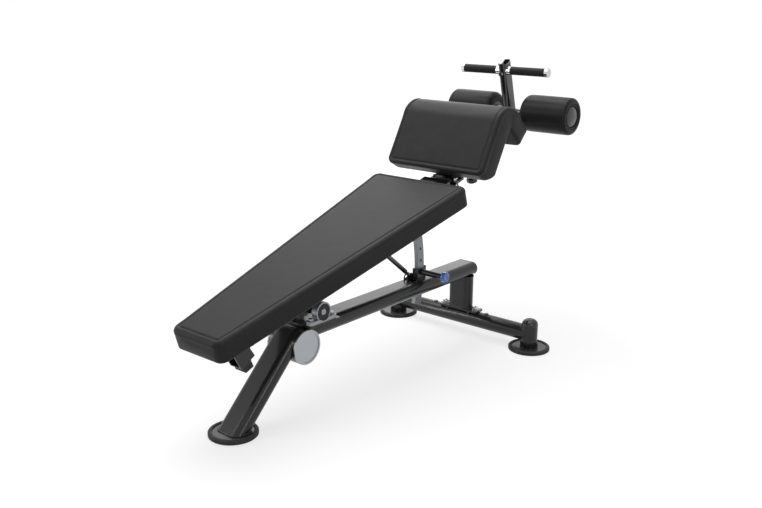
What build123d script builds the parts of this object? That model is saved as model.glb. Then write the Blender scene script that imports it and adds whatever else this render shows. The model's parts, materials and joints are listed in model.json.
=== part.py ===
"""Adjustable decline bench: floor frame, tilting pad frame, knee pad, ankle rollers and handle.

Millimetres, +Z up, +X towards the ankle rollers, Y = 0 is the plane of symmetry.
The floor is Z = 0. Pieces on the tilting frame are drawn level, with the pivot at
the origin, and are then set in place on the tilted plane TILTED.
"""

import os
from math import asin, cos, degrees, hypot, radians, sin, sqrt

from build123d import *

os.makedirs("parts", exist_ok=True)

# ---------------------------------------------------------------- fits
TOUCH = 0.0  # welded, bolted or pressed faces
RUNNING = 0.05  # radial clearance of a shaft in its bore
SLIDING = 0.3  # clearance of the telescoping tubes, each side
BOLT_CLEAR = 0.25  # radial clearance round a bolt
SOFT_CLEAR = 0.3  # room between a pin's nose and the bar it locks
ALONG_Y = (90, 0, 0)
ALONG_X = (0, 90, 0)
LOW = (Align.CENTER, Align.CENTER, Align.MIN)
HIGH = (Align.CENTER, Align.CENTER, Align.MAX)

# ---------------------------------------------------------------- floor frame
REAR_X = 463.67  # rear cross tube, which carries the two rear feet
FOOT_REACH = 1182.3  # from the rear cross tube forward to the front foot
HUB_REACH = 921.0
PIVOT_REACH = 855.0
HUB_R = 57.15
HUB_WALL = 4.0
HUB_HALF = 57.0
HUB_X = REAR_X - HUB_REACH
CAP_OUT = 6.0
CAP_PLUG = 12.0
CAP_RIM = 7.0
CAP_DISH = 2.5

BEAM_WIDE = 100.0  # flat-oval tube of the beam, leg, post and pad frame
BEAM_DEEP = 50.0
BEAM_CORNER = 24.0
BEAM_WALL = 3.0
BEAM_Z = 254.5
BEND_R = 37.0  # centre line of the bend round the hub
BEND_ANGLE = 45.0
HUB_Z = BEAM_Z - BEND_R
BEAM_TOP = BEAM_Z + BEAM_DEEP / 2
BEAM_END_X = REAR_X + 31.0
PLUG_FLANGE = 3.0
PLUG_DEPTH = 20.0

FOOT_X = REAR_X - FOOT_REACH
FOOT_Y = 315.0
FOOT_R = 77.0
FOOT_RIM = 13.0
FOOT_RIM_TOP = 15.5
PLATE_Z = 5.0
PLATE_TOP = 12.0
PLATE_LIP = 2.0

ROUND_R = 30.15
ROUND_WALL = 3.0
CROSS_Z = 62.0
FOOT_TUBE_TOP = 93.0
DOME_TOP = 119.0
DOME_R = 21.0
BOOT_TOP = 27.0
BOOT_R = 33.5
CROSS_PLUG_Y = 121.0
CROSS_PLUG_R = 8.0
CROSS_PLUG_HIGH = 3.5

BASE_Z = 93.0
BASE_THICK = 7.0
BASE_HALF_X = 26.0
BASE_HALF_Y = 88.0
SADDLE_THICK = 10.0
SADDLE_LOW = 78.0
BASE_BOLT_Y = 72.0
BASE_BOLT_R = 6.0
ACORN_R = 11.0
ACORN_SHAPE = 0.85  # height of the hexagon over its corner radius
ACORN_WASHER = 2.0

# ---------------------------------------------------------------- pivot and tilt
PIVOT_X = REAR_X - PIVOT_REACH
PIVOT_Z = 319.0
TILT = 16.0  # angle of the pad frame at rest
HOLE_STEP = 4.31  # degrees from one strut hole to the next
SHAFT_R = 10.0
SHAFT_HALF = 71.0
CENTRE_HIGH = 33.3  # bearing centre above its foot
BLOCK_HALF_X = 60.0
BLOCK_Y = 59.0
BLOCK_FOOT_WIDE = 28.0
BLOCK_FOOT_HIGH = 13.0
BLOCK_BOLT_X = 46.5
BLOCK_BOLT_R = 5.0
BLOCK_NUT = 5.0
RING_R = 32.5
RING_WIDE = 22.0
INSERT_R = 27.5
INSERT_WIDE = 18.0
SEAL_WIDE = 3.0
SEAL_BORE = 11.5
SEAT_BEHIND = 62.0
SEAT_AHEAD = 72.0
SEAT_X0 = PIVOT_X - SEAT_BEHIND
SEAT_X1 = PIVOT_X + SEAT_AHEAD
SEAT_HALF_Y = 76.0
SEAT_Z = PIVOT_Z - CENTRE_HIGH

# ---------------------------------------------------------------- curved strut and its lock
STRUT_R = 580.0  # arc radius about the pivot
STRUT_DEEP = 35.0
STRUT_THICK = 16.0
STRUT_LOW = -29.3  # lower end, degrees in the pad frame
PIN_Z = 306.0
PIN_X = PIVOT_X + sqrt(STRUT_R**2 - (PIN_Z - PIVOT_Z) ** 2)
PIN_R = 5.0
STRUT_HOLE_R = 5.6
HOLES_EACH_WAY = 2
SLEEVE_WALL = 5.0
SLOT_AHEAD = 22.0  # the slot in the beam's top runs on towards the head by this much
SLEEVE_TOP = 320.0
SLEEVE_GAP = 0.5
BARREL_R = 11.0
BARREL_END_Y = -106.0
KNOB_R = 19.0
KNOB_LONG = 19.0
PIN_TRAVEL = 12.0
LUG_TOP = 324.0

# ---------------------------------------------------------------- gas spring
GAS_Y = 22.0
GAS_TOP_BACK = 194.3  # upper eye, from the strut's arc towards the head
GAS_LOW_BACK = 31.0  # lower eye, from the pull pin towards the head
GAS_TOP_U = STRUT_R - GAS_TOP_BACK
GAS_TOP_V = 14.0
GAS_LOW_X = PIN_X - GAS_LOW_BACK
GAS_LOW_Z = 294.5
GAS_EYE_R = 8.0
GAS_EYE_WIDE = 8.0
GAS_PIN_R = 4.0
GAS_ROD_R = 4.0
GAS_TUBE_R = 9.0
GAS_TUBE_BORE = 7.2
GAS_TUBE_START = 28.0  # from the lower eye
GAS_TUBE_END = 166.0
GAS_GUIDE = 10.0
GAS_ROD_LONG = 148.0
GAS_PISTON_LONG = 8.0
GAS_EAR = 4.0
GAS_SIDE_GAP = 0.6
GAS_SWING_X = -12.2  # way the lower pin moves in its slot
GAS_SWING_Z = -5.3
GAS_SLOT_GAP = 1.4

# ---------------------------------------------------------------- pad frame, level, from the pivot
TUBE_V0 = 38.7
TUBE_V1 = TUBE_V0 + BEAM_DEEP
TUBE_U0 = -347.0
TUBE_U1 = 794.0
BOSS_HALF = 38.0
BOSS_R = 17.0

PAD_U0 = -436.0
PAD_U1 = 650.0
PAD_HALF0 = 104.9
PAD_HALF1 = 212.4
PAD_TOP = 159.2
PAD_PLAN_R = 30.0
PAD_TOP_R = 18.0
PAD_LOW_R = 7.0
BOARD_THICK = 15.0
BOARD_INSET = 12.0
PAD_BOLT_U = (-250.0, 120.0, 480.0)
PAD_BOLT_Y = 24.0
PAD_BOLT_R = 4.0
PAD_BOLT_HEAD_R = 7.5
PAD_BOLT_HEAD = 5.0
PAD_BOLT_BITE = 10.0

STOP_HALF = 25.0
STOP_SHEET = 5.0
STOP_OUTLINE = [(-338.0, TUBE_V0), (-274.0, TUBE_V0), (-273.9, 21.5), (-264.7, -7.5),
                (-282.0, -11.5), (-315.5, -22.9), (-324.9, -20.3)]
BUMPER_OUTLINE = [(-282.0, -11.5), (-278.4, -39.7), (-312.9, -43.4), (-315.5, -22.9)]
BUMPER_R = 4.0
STOP_HOLLOW = [(-345.0, TUBE_V0 - STOP_SHEET), (-285.0, TUBE_V0 - STOP_SHEET), (-285.0, 18.0), (-281.0, -4.0), (-318.0, -16.5), (-345.0, -14.0)]

BAR_U0 = 709.0
BAR_U1 = 734.0
BAR_HALF = 59.0
BAR_TOP = 121.7

# ---------------------------------------------------------------- boom and knee pad
BOOM_U0 = 778.0
BOOM_U1 = 1064.0
BOOM_V0 = 97.7
BOOM_WIDE = 74.0
BOOM_HIGH = 50.0
BOOM_CORNER = 8.0
BOOM_WALL = 4.0
BOOM_V = BOOM_V0 + BOOM_HIGH / 2
FOOT_U0 = 768.0
FOOT_U1 = 816.0
FOOT_HALF = 62.0
BOOM_BOLT_U = 784.0
BOOM_BOLT_Y = 47.5
BOOM_BOLT_R = 4.0
BOOM_NUT_R = 8.0
NOSE_TOP = BOOM_V0 + BOOM_HIGH + 1.3  # the boom's nose is cut to a slope and closed by a bent plate
NOSE_CUT = [(BOOM_U0 - 8, 111.5), (784.0, 111.5), (792.0, 114.0), (801.0, 119.7), (831.0, NOSE_TOP),
            (BOOM_U0 - 8, NOSE_TOP)]
NOSE_PLATE = [(BOOM_U0, BOOM_V0 + 1.3), (BOOM_U0, 111.5), (784.0, 111.5), (792.0, 114.0), (801.0, 119.7),
              (829.0, 147.0), (829.0, 141.5), (803.0, 116.0), (793.5, 110.5), (785.0, 108.0),
              (BOOM_U0 + 4, 108.0), (BOOM_U0 + 4, BOOM_V0 + 1.3)]

KNEE_HALF = 214.0
KNEE_APEX_U = 934.0
KNEE_APEX_V = 255.7
KNEE_APEX = (KNEE_APEX_U, KNEE_APEX_V)
KNEE_FRONT_FALL = 45.0
KNEE_BACK_FALL = 61.4
KNEE_FRONT_THICK = 91.9
KNEE_BACK_THICK = 72.0
KNEE_FRONT_LONG = 216.0
KNEE_BACK_LONG = 106.0
KNEE_CROWN_R = 85.0
KNEE_END_R = 27.0
KNEE_BACK_R = 14.0
KNEE_ROLL_R = 16.0
KNEE_LIP_R = 8.0
KNEE_SIDE_R = 13.0
KNEE_BOARD = 12.0
KNEE_INSET = 14.0
KNEE_PLATE = 5.0
KNEE_PLATE_HALF = 80.0
PLATE_FRONT = 138.0
PLATE_BACK = 86.0
KNEE_CHEEK = 5.0
CHEEK_U0 = 835.0
CHEEK_U1 = 975.0
CHEEK_V0 = 107.7

KNEE_PIN_U = 946.0
KNEE_BARREL_LOW = 31.0
KNEE_KNOB_LOW = 8.0
KNEE_KNOB_R = 22.0
BOOM_HOLE_PITCH = 25.0
BOOM_TRAVEL = 50.0

# ---------------------------------------------------------------- sliding carriage
INNER_U0 = 882.0
INNER_WALL = 3.0
POST_U = 1252.0
UPRIGHT_LONG = 60.0
UPRIGHT_THICK = 30.0
UPRIGHT_CORNER = 14.0
UPRIGHT_V0 = 89.7
UPRIGHT_V1 = 385.0
UPRIGHT_NOTCH_R = 34.0
UPRIGHT_NOTCH = 9.0
HANDLE_U = 1248.5
HANDLE_DROP = 34.1  # below the top of the upright
HANDLE_V = UPRIGHT_V1 - HANDLE_DROP
HANDLE_R = 12.7
HANDLE_WALL = 2.5
HANDLE_HALF = 186.0
GRIP_R = 16.0
GRIP_Y1 = HANDLE_HALF - 4
END_CAP_Y = HANDLE_HALF + 8.4
END_CAP_R = 16.8
COLLAR_R = 17.0
COLLAR_Y0 = UPRIGHT_THICK / 2
COLLAR_LONG = 16.0
GRIP_Y0 = COLLAR_Y0 + COLLAR_LONG
SET_BOLT_DROP = 5.9
SET_BOLT_V = HANDLE_V - SET_BOLT_DROP
SET_BOLT_R = 4.0
SET_HEAD_R = 8.0
SET_HEAD = 7.0

AXLE_U = 1267.3
AXLE_V = 175.3
AXLE_R = 12.5
ROLLER_R = 71.5
ROLLER_Y0 = 68.5
ROLLER_Y1 = 271.0
ROLLER_EDGE = 22.0
CORE_R = 22.0
CORE_CAP_R = 40.0
CORE_CAP = 8.0
CORE_FLANGE_R = 33.0
CORE_FLANGE = 4.0
AXLE_HALF = ROLLER_Y1 - 14
CORE_BORE_END = AXLE_HALF - 9
CORE_CAVITY_R = 18.0
AXLE_COLLAR_R = 21.0
AXLE_COLLAR_Y1 = ROLLER_Y0 - 0.8
AXLE_COLLAR_Y0 = AXLE_COLLAR_Y1 - 17.8
AXLE_NUT_R = 16.5
AXLE_NUT = 8.0

TILTED = Plane(
    origin=(PIVOT_X, 0, PIVOT_Z),
    x_dir=(cos(radians(TILT)), 0, sin(radians(TILT))),
    z_dir=(-sin(radians(TILT)), 0, cos(radians(TILT))),
).location
SIDES = ((1, "left"), (-1, "right"))


def save(builder, name, place=Location()):
    """Set a finished piece in its place, label it and write it."""
    piece = builder.part.moved(place)
    piece.label = name
    export_step(piece, f"parts/{name}.step")


def flat_oval(plane, wide, deep, corner, wall=0.0):
    """Section of a flat-oval bar, or of a tube when a wall is given."""
    with BuildSketch(plane) as section:
        RectangleRounded(wide, deep, corner)
        if wall:
            RectangleRounded(wide - 2 * wall, deep - 2 * wall, corner - wall, mode=Mode.SUBTRACT)
    return section.sketch


def outline(points, plane=Plane.XZ):
    """Closed face through corner points."""
    with BuildSketch(plane) as face:
        with BuildLine():
            Polyline(*points, close=True)
        make_face()
    return face.sketch


def across(x, z, y=0.0):
    """Place whose own Z axis lies along Y."""
    return Locations(Location((x, y, z), ALONG_Y))


def acorn_nut(spots, height, shank, nut_r, bolt_r):
    """Washer, hexagon, dome and shank of each acorn nut, on the part being built."""
    nut_high = nut_r * ACORN_SHAPE
    with Locations(*[(x, y, height) for x, y in spots]):
        Cylinder(nut_r + 1.5, ACORN_WASHER, align=LOW)
    with BuildSketch(Plane.XY.offset(height + ACORN_WASHER)) as hexagons:
        with Locations(*spots):
            RegularPolygon(nut_r, 6)
    extrude(hexagons.sketch, amount=nut_high)
    with Locations(*[(x, y, height + ACORN_WASHER + nut_high) for x, y in spots]):
        Sphere(nut_r * 0.8, arc_size1=0)
    with Locations(*[(x, y, height - shank) for x, y in spots]):
        Cylinder(bolt_r, shank, align=LOW)


def level(x, z):
    """Plane square to X at a point of the middle plane, with its first axis along Y."""
    return Plane(origin=(x, 0, z), x_dir=(0, 1, 0), z_dir=(1, 0, 0))


# ================================================================ floor frame
# Main beam: flat-oval tube bent over the hub and run back to the rear post, slotted for the strut.
strut_x = PIVOT_X + sqrt(STRUT_R**2 - (BEAM_Z - PIVOT_Z) ** 2)
with BuildPart() as main_beam:
    tube_end = flat_oval(level(HUB_X, BEAM_Z), BEAM_WIDE, BEAM_DEEP, BEAM_CORNER, BEAM_WALL)
    extrude(tube_end, amount=BEAM_END_X - HUB_X)
    revolve(tube_end, axis=Axis((HUB_X, 0, HUB_Z), (0, -1, 0)), revolution_arc=BEND_ANGLE)
    with across(HUB_X, HUB_Z):
        Cylinder(HUB_R, 2 * BEAM_WIDE, mode=Mode.SUBTRACT)
    with BuildSketch(Plane.XY.offset(BEAM_TOP + 1)):
        with Locations((strut_x, 0)):
            RectangleRounded(STRUT_DEEP + 14, STRUT_THICK + 6, 4)
    extrude(amount=-BEAM_DEEP - 2, mode=Mode.SUBTRACT)
    with BuildSketch(Plane.XY.offset(BEAM_TOP + 1)):
        with Locations((strut_x - SLOT_AHEAD / 2, 0)):
            RectangleRounded(STRUT_DEEP + 14 + SLOT_AHEAD, STRUT_THICK + 10, 6)
    extrude(amount=-BEAM_WALL - 2, mode=Mode.SUBTRACT)
save(main_beam, "main_beam")

with BuildPart() as beam_end_plug:
    extrude(flat_oval(level(BEAM_END_X, BEAM_Z), BEAM_WIDE, BEAM_DEEP, BEAM_CORNER), amount=PLUG_FLANGE)
    chamfer(beam_end_plug.edges().group_by(Axis.X)[-1], 1.2)
    extrude(flat_oval(level(BEAM_END_X, BEAM_Z), BEAM_WIDE - 2 * BEAM_WALL, BEAM_DEEP - 2 * BEAM_WALL,
                      BEAM_CORNER - BEAM_WALL), amount=-PLUG_DEPTH)
save(beam_end_plug, "beam_end_plug")

# Hub: cross pipe in which the beam and the leg meet, with a dished cap in each end.
with BuildPart() as hub_tube:
    with across(HUB_X, HUB_Z):
        Cylinder(HUB_R, 2 * HUB_HALF)
        Cylinder(HUB_R - HUB_WALL, 2 * HUB_HALF, mode=Mode.SUBTRACT)
save(hub_tube, "hub_tube")

for side, word in SIDES:
    with BuildPart() as hub_cap:
        with across(HUB_X, HUB_Z, side * (HUB_HALF + CAP_OUT / 2)):
            Cylinder(HUB_R, CAP_OUT)
        fillet(hub_cap.edges().group_by(Axis.Y)[-1 if side > 0 else 0], 2.5)
        with across(HUB_X, HUB_Z, side * (HUB_HALF + CAP_OUT - CAP_DISH / 2)):
            Cylinder(HUB_R - CAP_RIM, CAP_DISH, mode=Mode.SUBTRACT)
        with across(HUB_X, HUB_Z, side * (HUB_HALF - CAP_PLUG / 2)):
            Cylinder(HUB_R - HUB_WALL, CAP_PLUG)
    save(hub_cap, f"hub_cap_{word}")

# Front leg: the same flat-oval tube, run on from the bend and cut level on the front foot plate.
bend = radians(BEND_ANGLE)
leg_plane = Plane(origin=(HUB_X - BEND_R * sin(bend), 0, HUB_Z + BEND_R * cos(bend)), x_dir=(0, 1, 0),
                  z_dir=(-cos(bend), 0, -sin(bend)))
with BuildPart() as front_leg:
    extrude(flat_oval(leg_plane, BEAM_WIDE, BEAM_DEEP, BEAM_CORNER, BEAM_WALL), amount=2 * HUB_Z)
    split(bisect_by=Plane.XY.offset(PLATE_TOP), keep=Keep.TOP)
    with across(HUB_X, HUB_Z):
        Cylinder(HUB_R, 2 * BEAM_WIDE, mode=Mode.SUBTRACT)
save(front_leg, "front_leg")

# Feet: steel discs with rubber cups clipped round them.
foot_spots = (("front", FOOT_X, 0.0), ("left", REAR_X, FOOT_Y), ("right", REAR_X, -FOOT_Y))
with BuildPart() as foot_plates:
    with Locations(*[(x, y, (PLATE_Z + PLATE_TOP) / 2) for _, x, y in foot_spots]):
        Cylinder(FOOT_R - FOOT_RIM + PLATE_LIP, PLATE_TOP - PLATE_Z)
save(foot_plates, "foot_plates")

for word, foot_x, foot_y in foot_spots:
    with BuildPart() as foot_rubber:
        with Locations((foot_x, foot_y, FOOT_RIM_TOP / 2)):
            Cylinder(FOOT_R, FOOT_RIM_TOP)
        fillet(foot_rubber.edges().group_by(Axis.Z)[-1], 5)
        fillet(foot_rubber.edges().group_by(Axis.Z)[0], 2)
        with Locations((foot_x, foot_y, (PLATE_TOP + FOOT_RIM_TOP + 1) / 2)):
            Cylinder(FOOT_R - FOOT_RIM, FOOT_RIM_TOP + 1 - PLATE_TOP, mode=Mode.SUBTRACT)
        with Locations((foot_x, foot_y, (PLATE_Z + PLATE_TOP) / 2)):
            Cylinder(FOOT_R - FOOT_RIM + PLATE_LIP, PLATE_TOP - PLATE_Z, mode=Mode.SUBTRACT)
    save(foot_rubber, f"foot_rubber_{word}")

# Rear cross tube between the two foot tubes.
with BuildPart() as rear_cross_tube:
    with across(REAR_X, CROSS_Z):
        Cylinder(ROUND_R, 2 * FOOT_Y)
        Cylinder(ROUND_R - ROUND_WALL, 2 * FOOT_Y, mode=Mode.SUBTRACT)
    with Locations((REAR_X, FOOT_Y, CROSS_Z), (REAR_X, -FOOT_Y, CROSS_Z)):
        Cylinder(ROUND_R, 4 * ROUND_R, mode=Mode.SUBTRACT)
    with Locations((REAR_X, BASE_BOLT_Y, CROSS_Z + ROUND_R), (REAR_X, -BASE_BOLT_Y, CROSS_Z + ROUND_R)):
        Cylinder(BASE_BOLT_R + BOLT_CLEAR, 4 * ROUND_WALL, mode=Mode.SUBTRACT)
    with Locations((REAR_X, CROSS_PLUG_Y, CROSS_Z + ROUND_R), (REAR_X, -CROSS_PLUG_Y, CROSS_Z + ROUND_R)):
        Cylinder(CROSS_PLUG_R - 2, 4 * ROUND_WALL, mode=Mode.SUBTRACT)
save(rear_cross_tube, "rear_cross_tube")

for side, word in SIDES:
    with BuildPart() as rear_foot_tube:
        with Locations((REAR_X, side * FOOT_Y, (PLATE_TOP + FOOT_TUBE_TOP) / 2)):
            Cylinder(ROUND_R, FOOT_TUBE_TOP - PLATE_TOP)
            Cylinder(ROUND_R - ROUND_WALL, FOOT_TUBE_TOP - PLATE_TOP, mode=Mode.SUBTRACT)
    save(rear_foot_tube, f"rear_foot_tube_{word}")

# Plastic trim of the rear tubes: domes, boots round the foot tubes and small hole plugs.
with BuildPart() as tube_caps:
    with Locations(*[(REAR_X, side * FOOT_Y, (FOOT_TUBE_TOP + DOME_TOP) / 2) for side, _ in SIDES]):
        Cylinder(ROUND_R, DOME_TOP - FOOT_TUBE_TOP)
    fillet(tube_caps.edges().group_by(Axis.Z)[-1], DOME_R)
    with Locations(*[(REAR_X, side * FOOT_Y, FOOT_TUBE_TOP - PLUG_DEPTH / 2) for side, _ in SIDES]):
        Cylinder(ROUND_R - ROUND_WALL, PLUG_DEPTH)
    with Locations(*[(REAR_X, side * CROSS_PLUG_Y, CROSS_Z + ROUND_R) for side, _ in SIDES]):
        Cylinder(CROSS_PLUG_R, 2 * CROSS_PLUG_HIGH)
    with across(REAR_X, CROSS_Z):
        Cylinder(ROUND_R, 3 * CROSS_PLUG_Y, mode=Mode.SUBTRACT)
    with Locations(*[(REAR_X, side * CROSS_PLUG_Y, CROSS_Z + ROUND_R - ROUND_WALL) for side, _ in SIDES]):
        Cylinder(CROSS_PLUG_R - 2, 2 * ROUND_WALL + CROSS_PLUG_HIGH)
    boots = [(REAR_X, side * FOOT_Y, PLATE_TOP) for side, _ in SIDES]
    with Locations(*boots):
        Cylinder(BOOT_R, BOOT_TOP - PLATE_TOP, align=LOW)
        Cylinder(ROUND_R, BOOT_TOP - PLATE_TOP, align=LOW, mode=Mode.SUBTRACT)
save(tube_caps, "tube_caps")

# Rear post: flat-oval tube standing on a bolted base plate with saddles over the cross tube.
with BuildPart() as post_base_plate:
    with Locations((REAR_X, 0, BASE_Z + BASE_THICK / 2)):
        Box(2 * BASE_HALF_X, 2 * BASE_HALF_Y, BASE_THICK)
    fillet(post_base_plate.edges().filter_by(Axis.Z), 8)
    saddle_high = BASE_Z - SADDLE_LOW
    with Locations(*[(REAR_X, side * BEAM_WIDE / 2, SADDLE_LOW + saddle_high / 2) for side, _ in SIDES]):
        Box(2 * BASE_HALF_X - 4, SADDLE_THICK, saddle_high)
    with across(REAR_X, CROSS_Z):
        Cylinder(ROUND_R, 3 * BASE_HALF_Y, mode=Mode.SUBTRACT)
    with Locations(*[(REAR_X, side * BASE_BOLT_Y, BASE_Z) for side, _ in SIDES]):
        Cylinder(BASE_BOLT_R + BOLT_CLEAR, 3 * BASE_THICK, mode=Mode.SUBTRACT)
save(post_base_plate, "post_base_plate")

post_plane = Plane(origin=(REAR_X, 0, BASE_Z + BASE_THICK), x_dir=(0, 1, 0), z_dir=(0, 0, 1))
with BuildPart() as rear_post:
    extrude(flat_oval(post_plane, BEAM_WIDE, BEAM_DEEP, BEAM_CORNER, BEAM_WALL),
            amount=BEAM_TOP - BEAM_DEEP - BASE_Z - BASE_THICK)
save(rear_post, "rear_post")

with BuildPart() as base_bolts:
    acorn_nut([(REAR_X, side * BASE_BOLT_Y) for side, _ in SIDES], BASE_Z + BASE_THICK,
              BASE_THICK + 2 * ROUND_WALL, ACORN_R, BASE_BOLT_R)
save(base_bolts, "base_bolts")

# ================================================================ pivot bearings
with BuildPart() as bearing_plate:
    with Locations(((SEAT_X0 + SEAT_X1) / 2, 0, (BEAM_TOP + SEAT_Z) / 2)):
        Box(SEAT_X1 - SEAT_X0, 2 * SEAT_HALF_Y, SEAT_Z - BEAM_TOP)
    fillet(bearing_plate.edges().filter_by(Axis.Z), 8)
    with Locations(*[(PIVOT_X + end * BLOCK_BOLT_X, side * BLOCK_Y, SEAT_Z) for end in (1, -1) for side, _ in SIDES]):
        Cylinder(BLOCK_BOLT_R + BOLT_CLEAR, 40, mode=Mode.SUBTRACT)
save(bearing_plate, "bearing_plate")

for side, word in SIDES:
    block_y = side * BLOCK_Y
    with BuildPart() as bearing_housing:
        with Locations((PIVOT_X, block_y, SEAT_Z + BLOCK_FOOT_HIGH / 2)):
            Box(2 * BLOCK_HALF_X, BLOCK_FOOT_WIDE, BLOCK_FOOT_HIGH)
        fillet(bearing_housing.edges().filter_by(Axis.Z), 10)
        with across(PIVOT_X, PIVOT_Z, block_y):
            Cylinder(RING_R, RING_WIDE)
        with Locations((PIVOT_X, block_y, (SEAT_Z + PIVOT_Z) / 2)):
            Box(2 * RING_R - 6, RING_WIDE - 4, PIVOT_Z - SEAT_Z)
        with across(PIVOT_X, PIVOT_Z, block_y):
            Cylinder(INSERT_R, 2 * RING_WIDE, mode=Mode.SUBTRACT)
        with Locations(*[(PIVOT_X + end * BLOCK_BOLT_X, block_y, SEAT_Z) for end in (1, -1)]):
            Cylinder(BLOCK_BOLT_R + BOLT_CLEAR, 60, mode=Mode.SUBTRACT)
    save(bearing_housing, f"bearing_housing_{word}")

with BuildPart() as bearing_inserts:
    for side, _ in SIDES:
        with across(PIVOT_X, PIVOT_Z, side * BLOCK_Y):
            Cylinder(INSERT_R, INSERT_WIDE)
            Cylinder(SHAFT_R + RUNNING, INSERT_WIDE, mode=Mode.SUBTRACT)
save(bearing_inserts, "bearing_inserts")

with BuildPart() as bearing_seals:
    for side, _ in SIDES:
        with across(PIVOT_X, PIVOT_Z, side * (BLOCK_Y + (INSERT_WIDE + SEAL_WIDE) / 2)):
            Cylinder(INSERT_R, SEAL_WIDE)
            Cylinder(SEAL_BORE, SEAL_WIDE, mode=Mode.SUBTRACT)
save(bearing_seals, "bearing_seals")

with BuildPart() as bearing_bolts:
    with Locations(*[(PIVOT_X + end * BLOCK_BOLT_X, side * BLOCK_Y, SEAT_Z + BLOCK_FOOT_HIGH)
                     for end in (1, -1) for side, _ in SIDES]):
        Cylinder(BLOCK_BOLT_R * 1.9, 2, align=LOW)
        Cylinder(BLOCK_BOLT_R * 1.65, 8.5, align=LOW)
    bolt_low = BEAM_TOP - BLOCK_NUT
    with Locations(*[(PIVOT_X + end * BLOCK_BOLT_X, side * BLOCK_Y, bolt_low) for end in (1, -1) for side, _ in SIDES]):
        Cylinder(BLOCK_BOLT_R, SEAT_Z + BLOCK_FOOT_HIGH - bolt_low, align=LOW)
        Cylinder(BLOCK_BOLT_R * 1.75, BLOCK_NUT, align=LOW)
save(bearing_bolts, "bearing_bolts")

# ================================================================ strut lock
# Sleeve: box on the beam with an arc-shaped channel for the strut and the barrel of the pull pin.
with BuildPart() as strut_sleeve:
    sleeve_x = PIVOT_X + STRUT_R * cos(asin((SLEEVE_TOP - 20 - PIVOT_Z) / STRUT_R))
    with Locations((sleeve_x, 0, (BEAM_TOP + SLEEVE_TOP) / 2)):
        Box(STRUT_DEEP + 2 * SLEEVE_WALL + 2, STRUT_THICK + 2 * SLEEVE_WALL, SLEEVE_TOP - BEAM_TOP)
    fillet(strut_sleeve.edges().filter_by(Axis.Z), 2)
    with Locations((sleeve_x + STRUT_DEEP / 2 + SLEEVE_WALL + 1 + 4, 0, (SLEEVE_TOP - 24 + LUG_TOP) / 2)):
        Box(8, STRUT_THICK, LUG_TOP - SLEEVE_TOP + 24)
    fillet(strut_sleeve.edges().group_by(Axis.Z)[-1], 3)
    barrel_long = -BARREL_END_Y - STRUT_THICK / 2 - 1
    with across(PIN_X, PIN_Z, (BARREL_END_Y - STRUT_THICK / 2 - 1) / 2):
        Cylinder(BARREL_R, barrel_long)
    with across(PIN_X, PIN_Z, BARREL_END_Y / 2):
        Cylinder(PIN_R + RUNNING, -BARREL_END_Y, mode=Mode.SUBTRACT)
    with BuildSketch(Plane.XZ):
        with Locations((PIVOT_X, PIVOT_Z)):
            Circle(STRUT_R + STRUT_DEEP / 2 + SLEEVE_GAP)
            Circle(STRUT_R - STRUT_DEEP / 2 - SLEEVE_GAP, mode=Mode.SUBTRACT)
    extrude(amount=STRUT_THICK / 2 + SLEEVE_GAP, both=True, mode=Mode.SUBTRACT)
save(strut_sleeve, "strut_sleeve")

# Pull pin: its nose stands just clear of the strut, its knob outside the barrel.
pin_nose = -(STRUT_THICK / 2 + SOFT_CLEAR)
knob_face = BARREL_END_Y - SOFT_CLEAR
with BuildPart() as pull_pin:
    with across(PIN_X, PIN_Z, (pin_nose + knob_face - KNOB_LONG / 2) / 2):
        Cylinder(PIN_R, pin_nose - knob_face + KNOB_LONG / 2)
    chamfer(pull_pin.edges().group_by(Axis.Y)[-1], 1)
save(pull_pin, "pull_pin")

with BuildPart() as pull_knob:
    with across(PIN_X, PIN_Z, knob_face - KNOB_LONG / 2):
        Cylinder(KNOB_R, KNOB_LONG)
    fillet(pull_knob.edges().group_by(Axis.Y)[0], 6)
    fillet(pull_knob.edges().group_by(Axis.Y)[-1], 3)
    with across(PIN_X, PIN_Z, knob_face - KNOB_LONG / 4):
        Cylinder(PIN_R, KNOB_LONG / 2, mode=Mode.SUBTRACT)
save(pull_knob, "pull_knob")

# ================================================================ gas spring
# Lower bracket: two plates on the beam, slotted where the lower pin wanders.
bracket_outline = [(GAS_LOW_X - 21, BEAM_TOP), (GAS_LOW_X + 11, BEAM_TOP), (GAS_LOW_X + 11, GAS_LOW_Z + 4),
                   (GAS_LOW_X + 4, GAS_LOW_Z + 9), (GAS_LOW_X - 14, GAS_LOW_Z + 5),
                   (GAS_LOW_X - 21, GAS_LOW_Z - 4)]
gas_inner = GAS_EYE_WIDE / 2 + GAS_SIDE_GAP
with BuildPart() as gas_bracket:
    with BuildSketch(Plane.XZ.offset(-GAS_Y)):
        with BuildLine():
            Polyline(*bracket_outline, close=True)
        make_face()
        with Locations((GAS_LOW_X + GAS_SWING_X / 2, GAS_LOW_Z + GAS_SWING_Z / 2)):
            SlotCenterToCenter(hypot(GAS_SWING_X, GAS_SWING_Z), 2 * (GAS_PIN_R + GAS_SLOT_GAP),
                               rotation=degrees(asin(GAS_SWING_Z / hypot(GAS_SWING_X, GAS_SWING_Z))) * -1,
                               mode=Mode.SUBTRACT)
    extrude(amount=gas_inner + GAS_EAR, both=True)
    with Locations((GAS_LOW_X - 6, GAS_Y, GAS_LOW_Z + 4)):
        Box(60, 2 * gas_inner, 4 * (GAS_LOW_Z - BEAM_TOP), mode=Mode.SUBTRACT)
save(gas_bracket, "gas_bracket")

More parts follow.
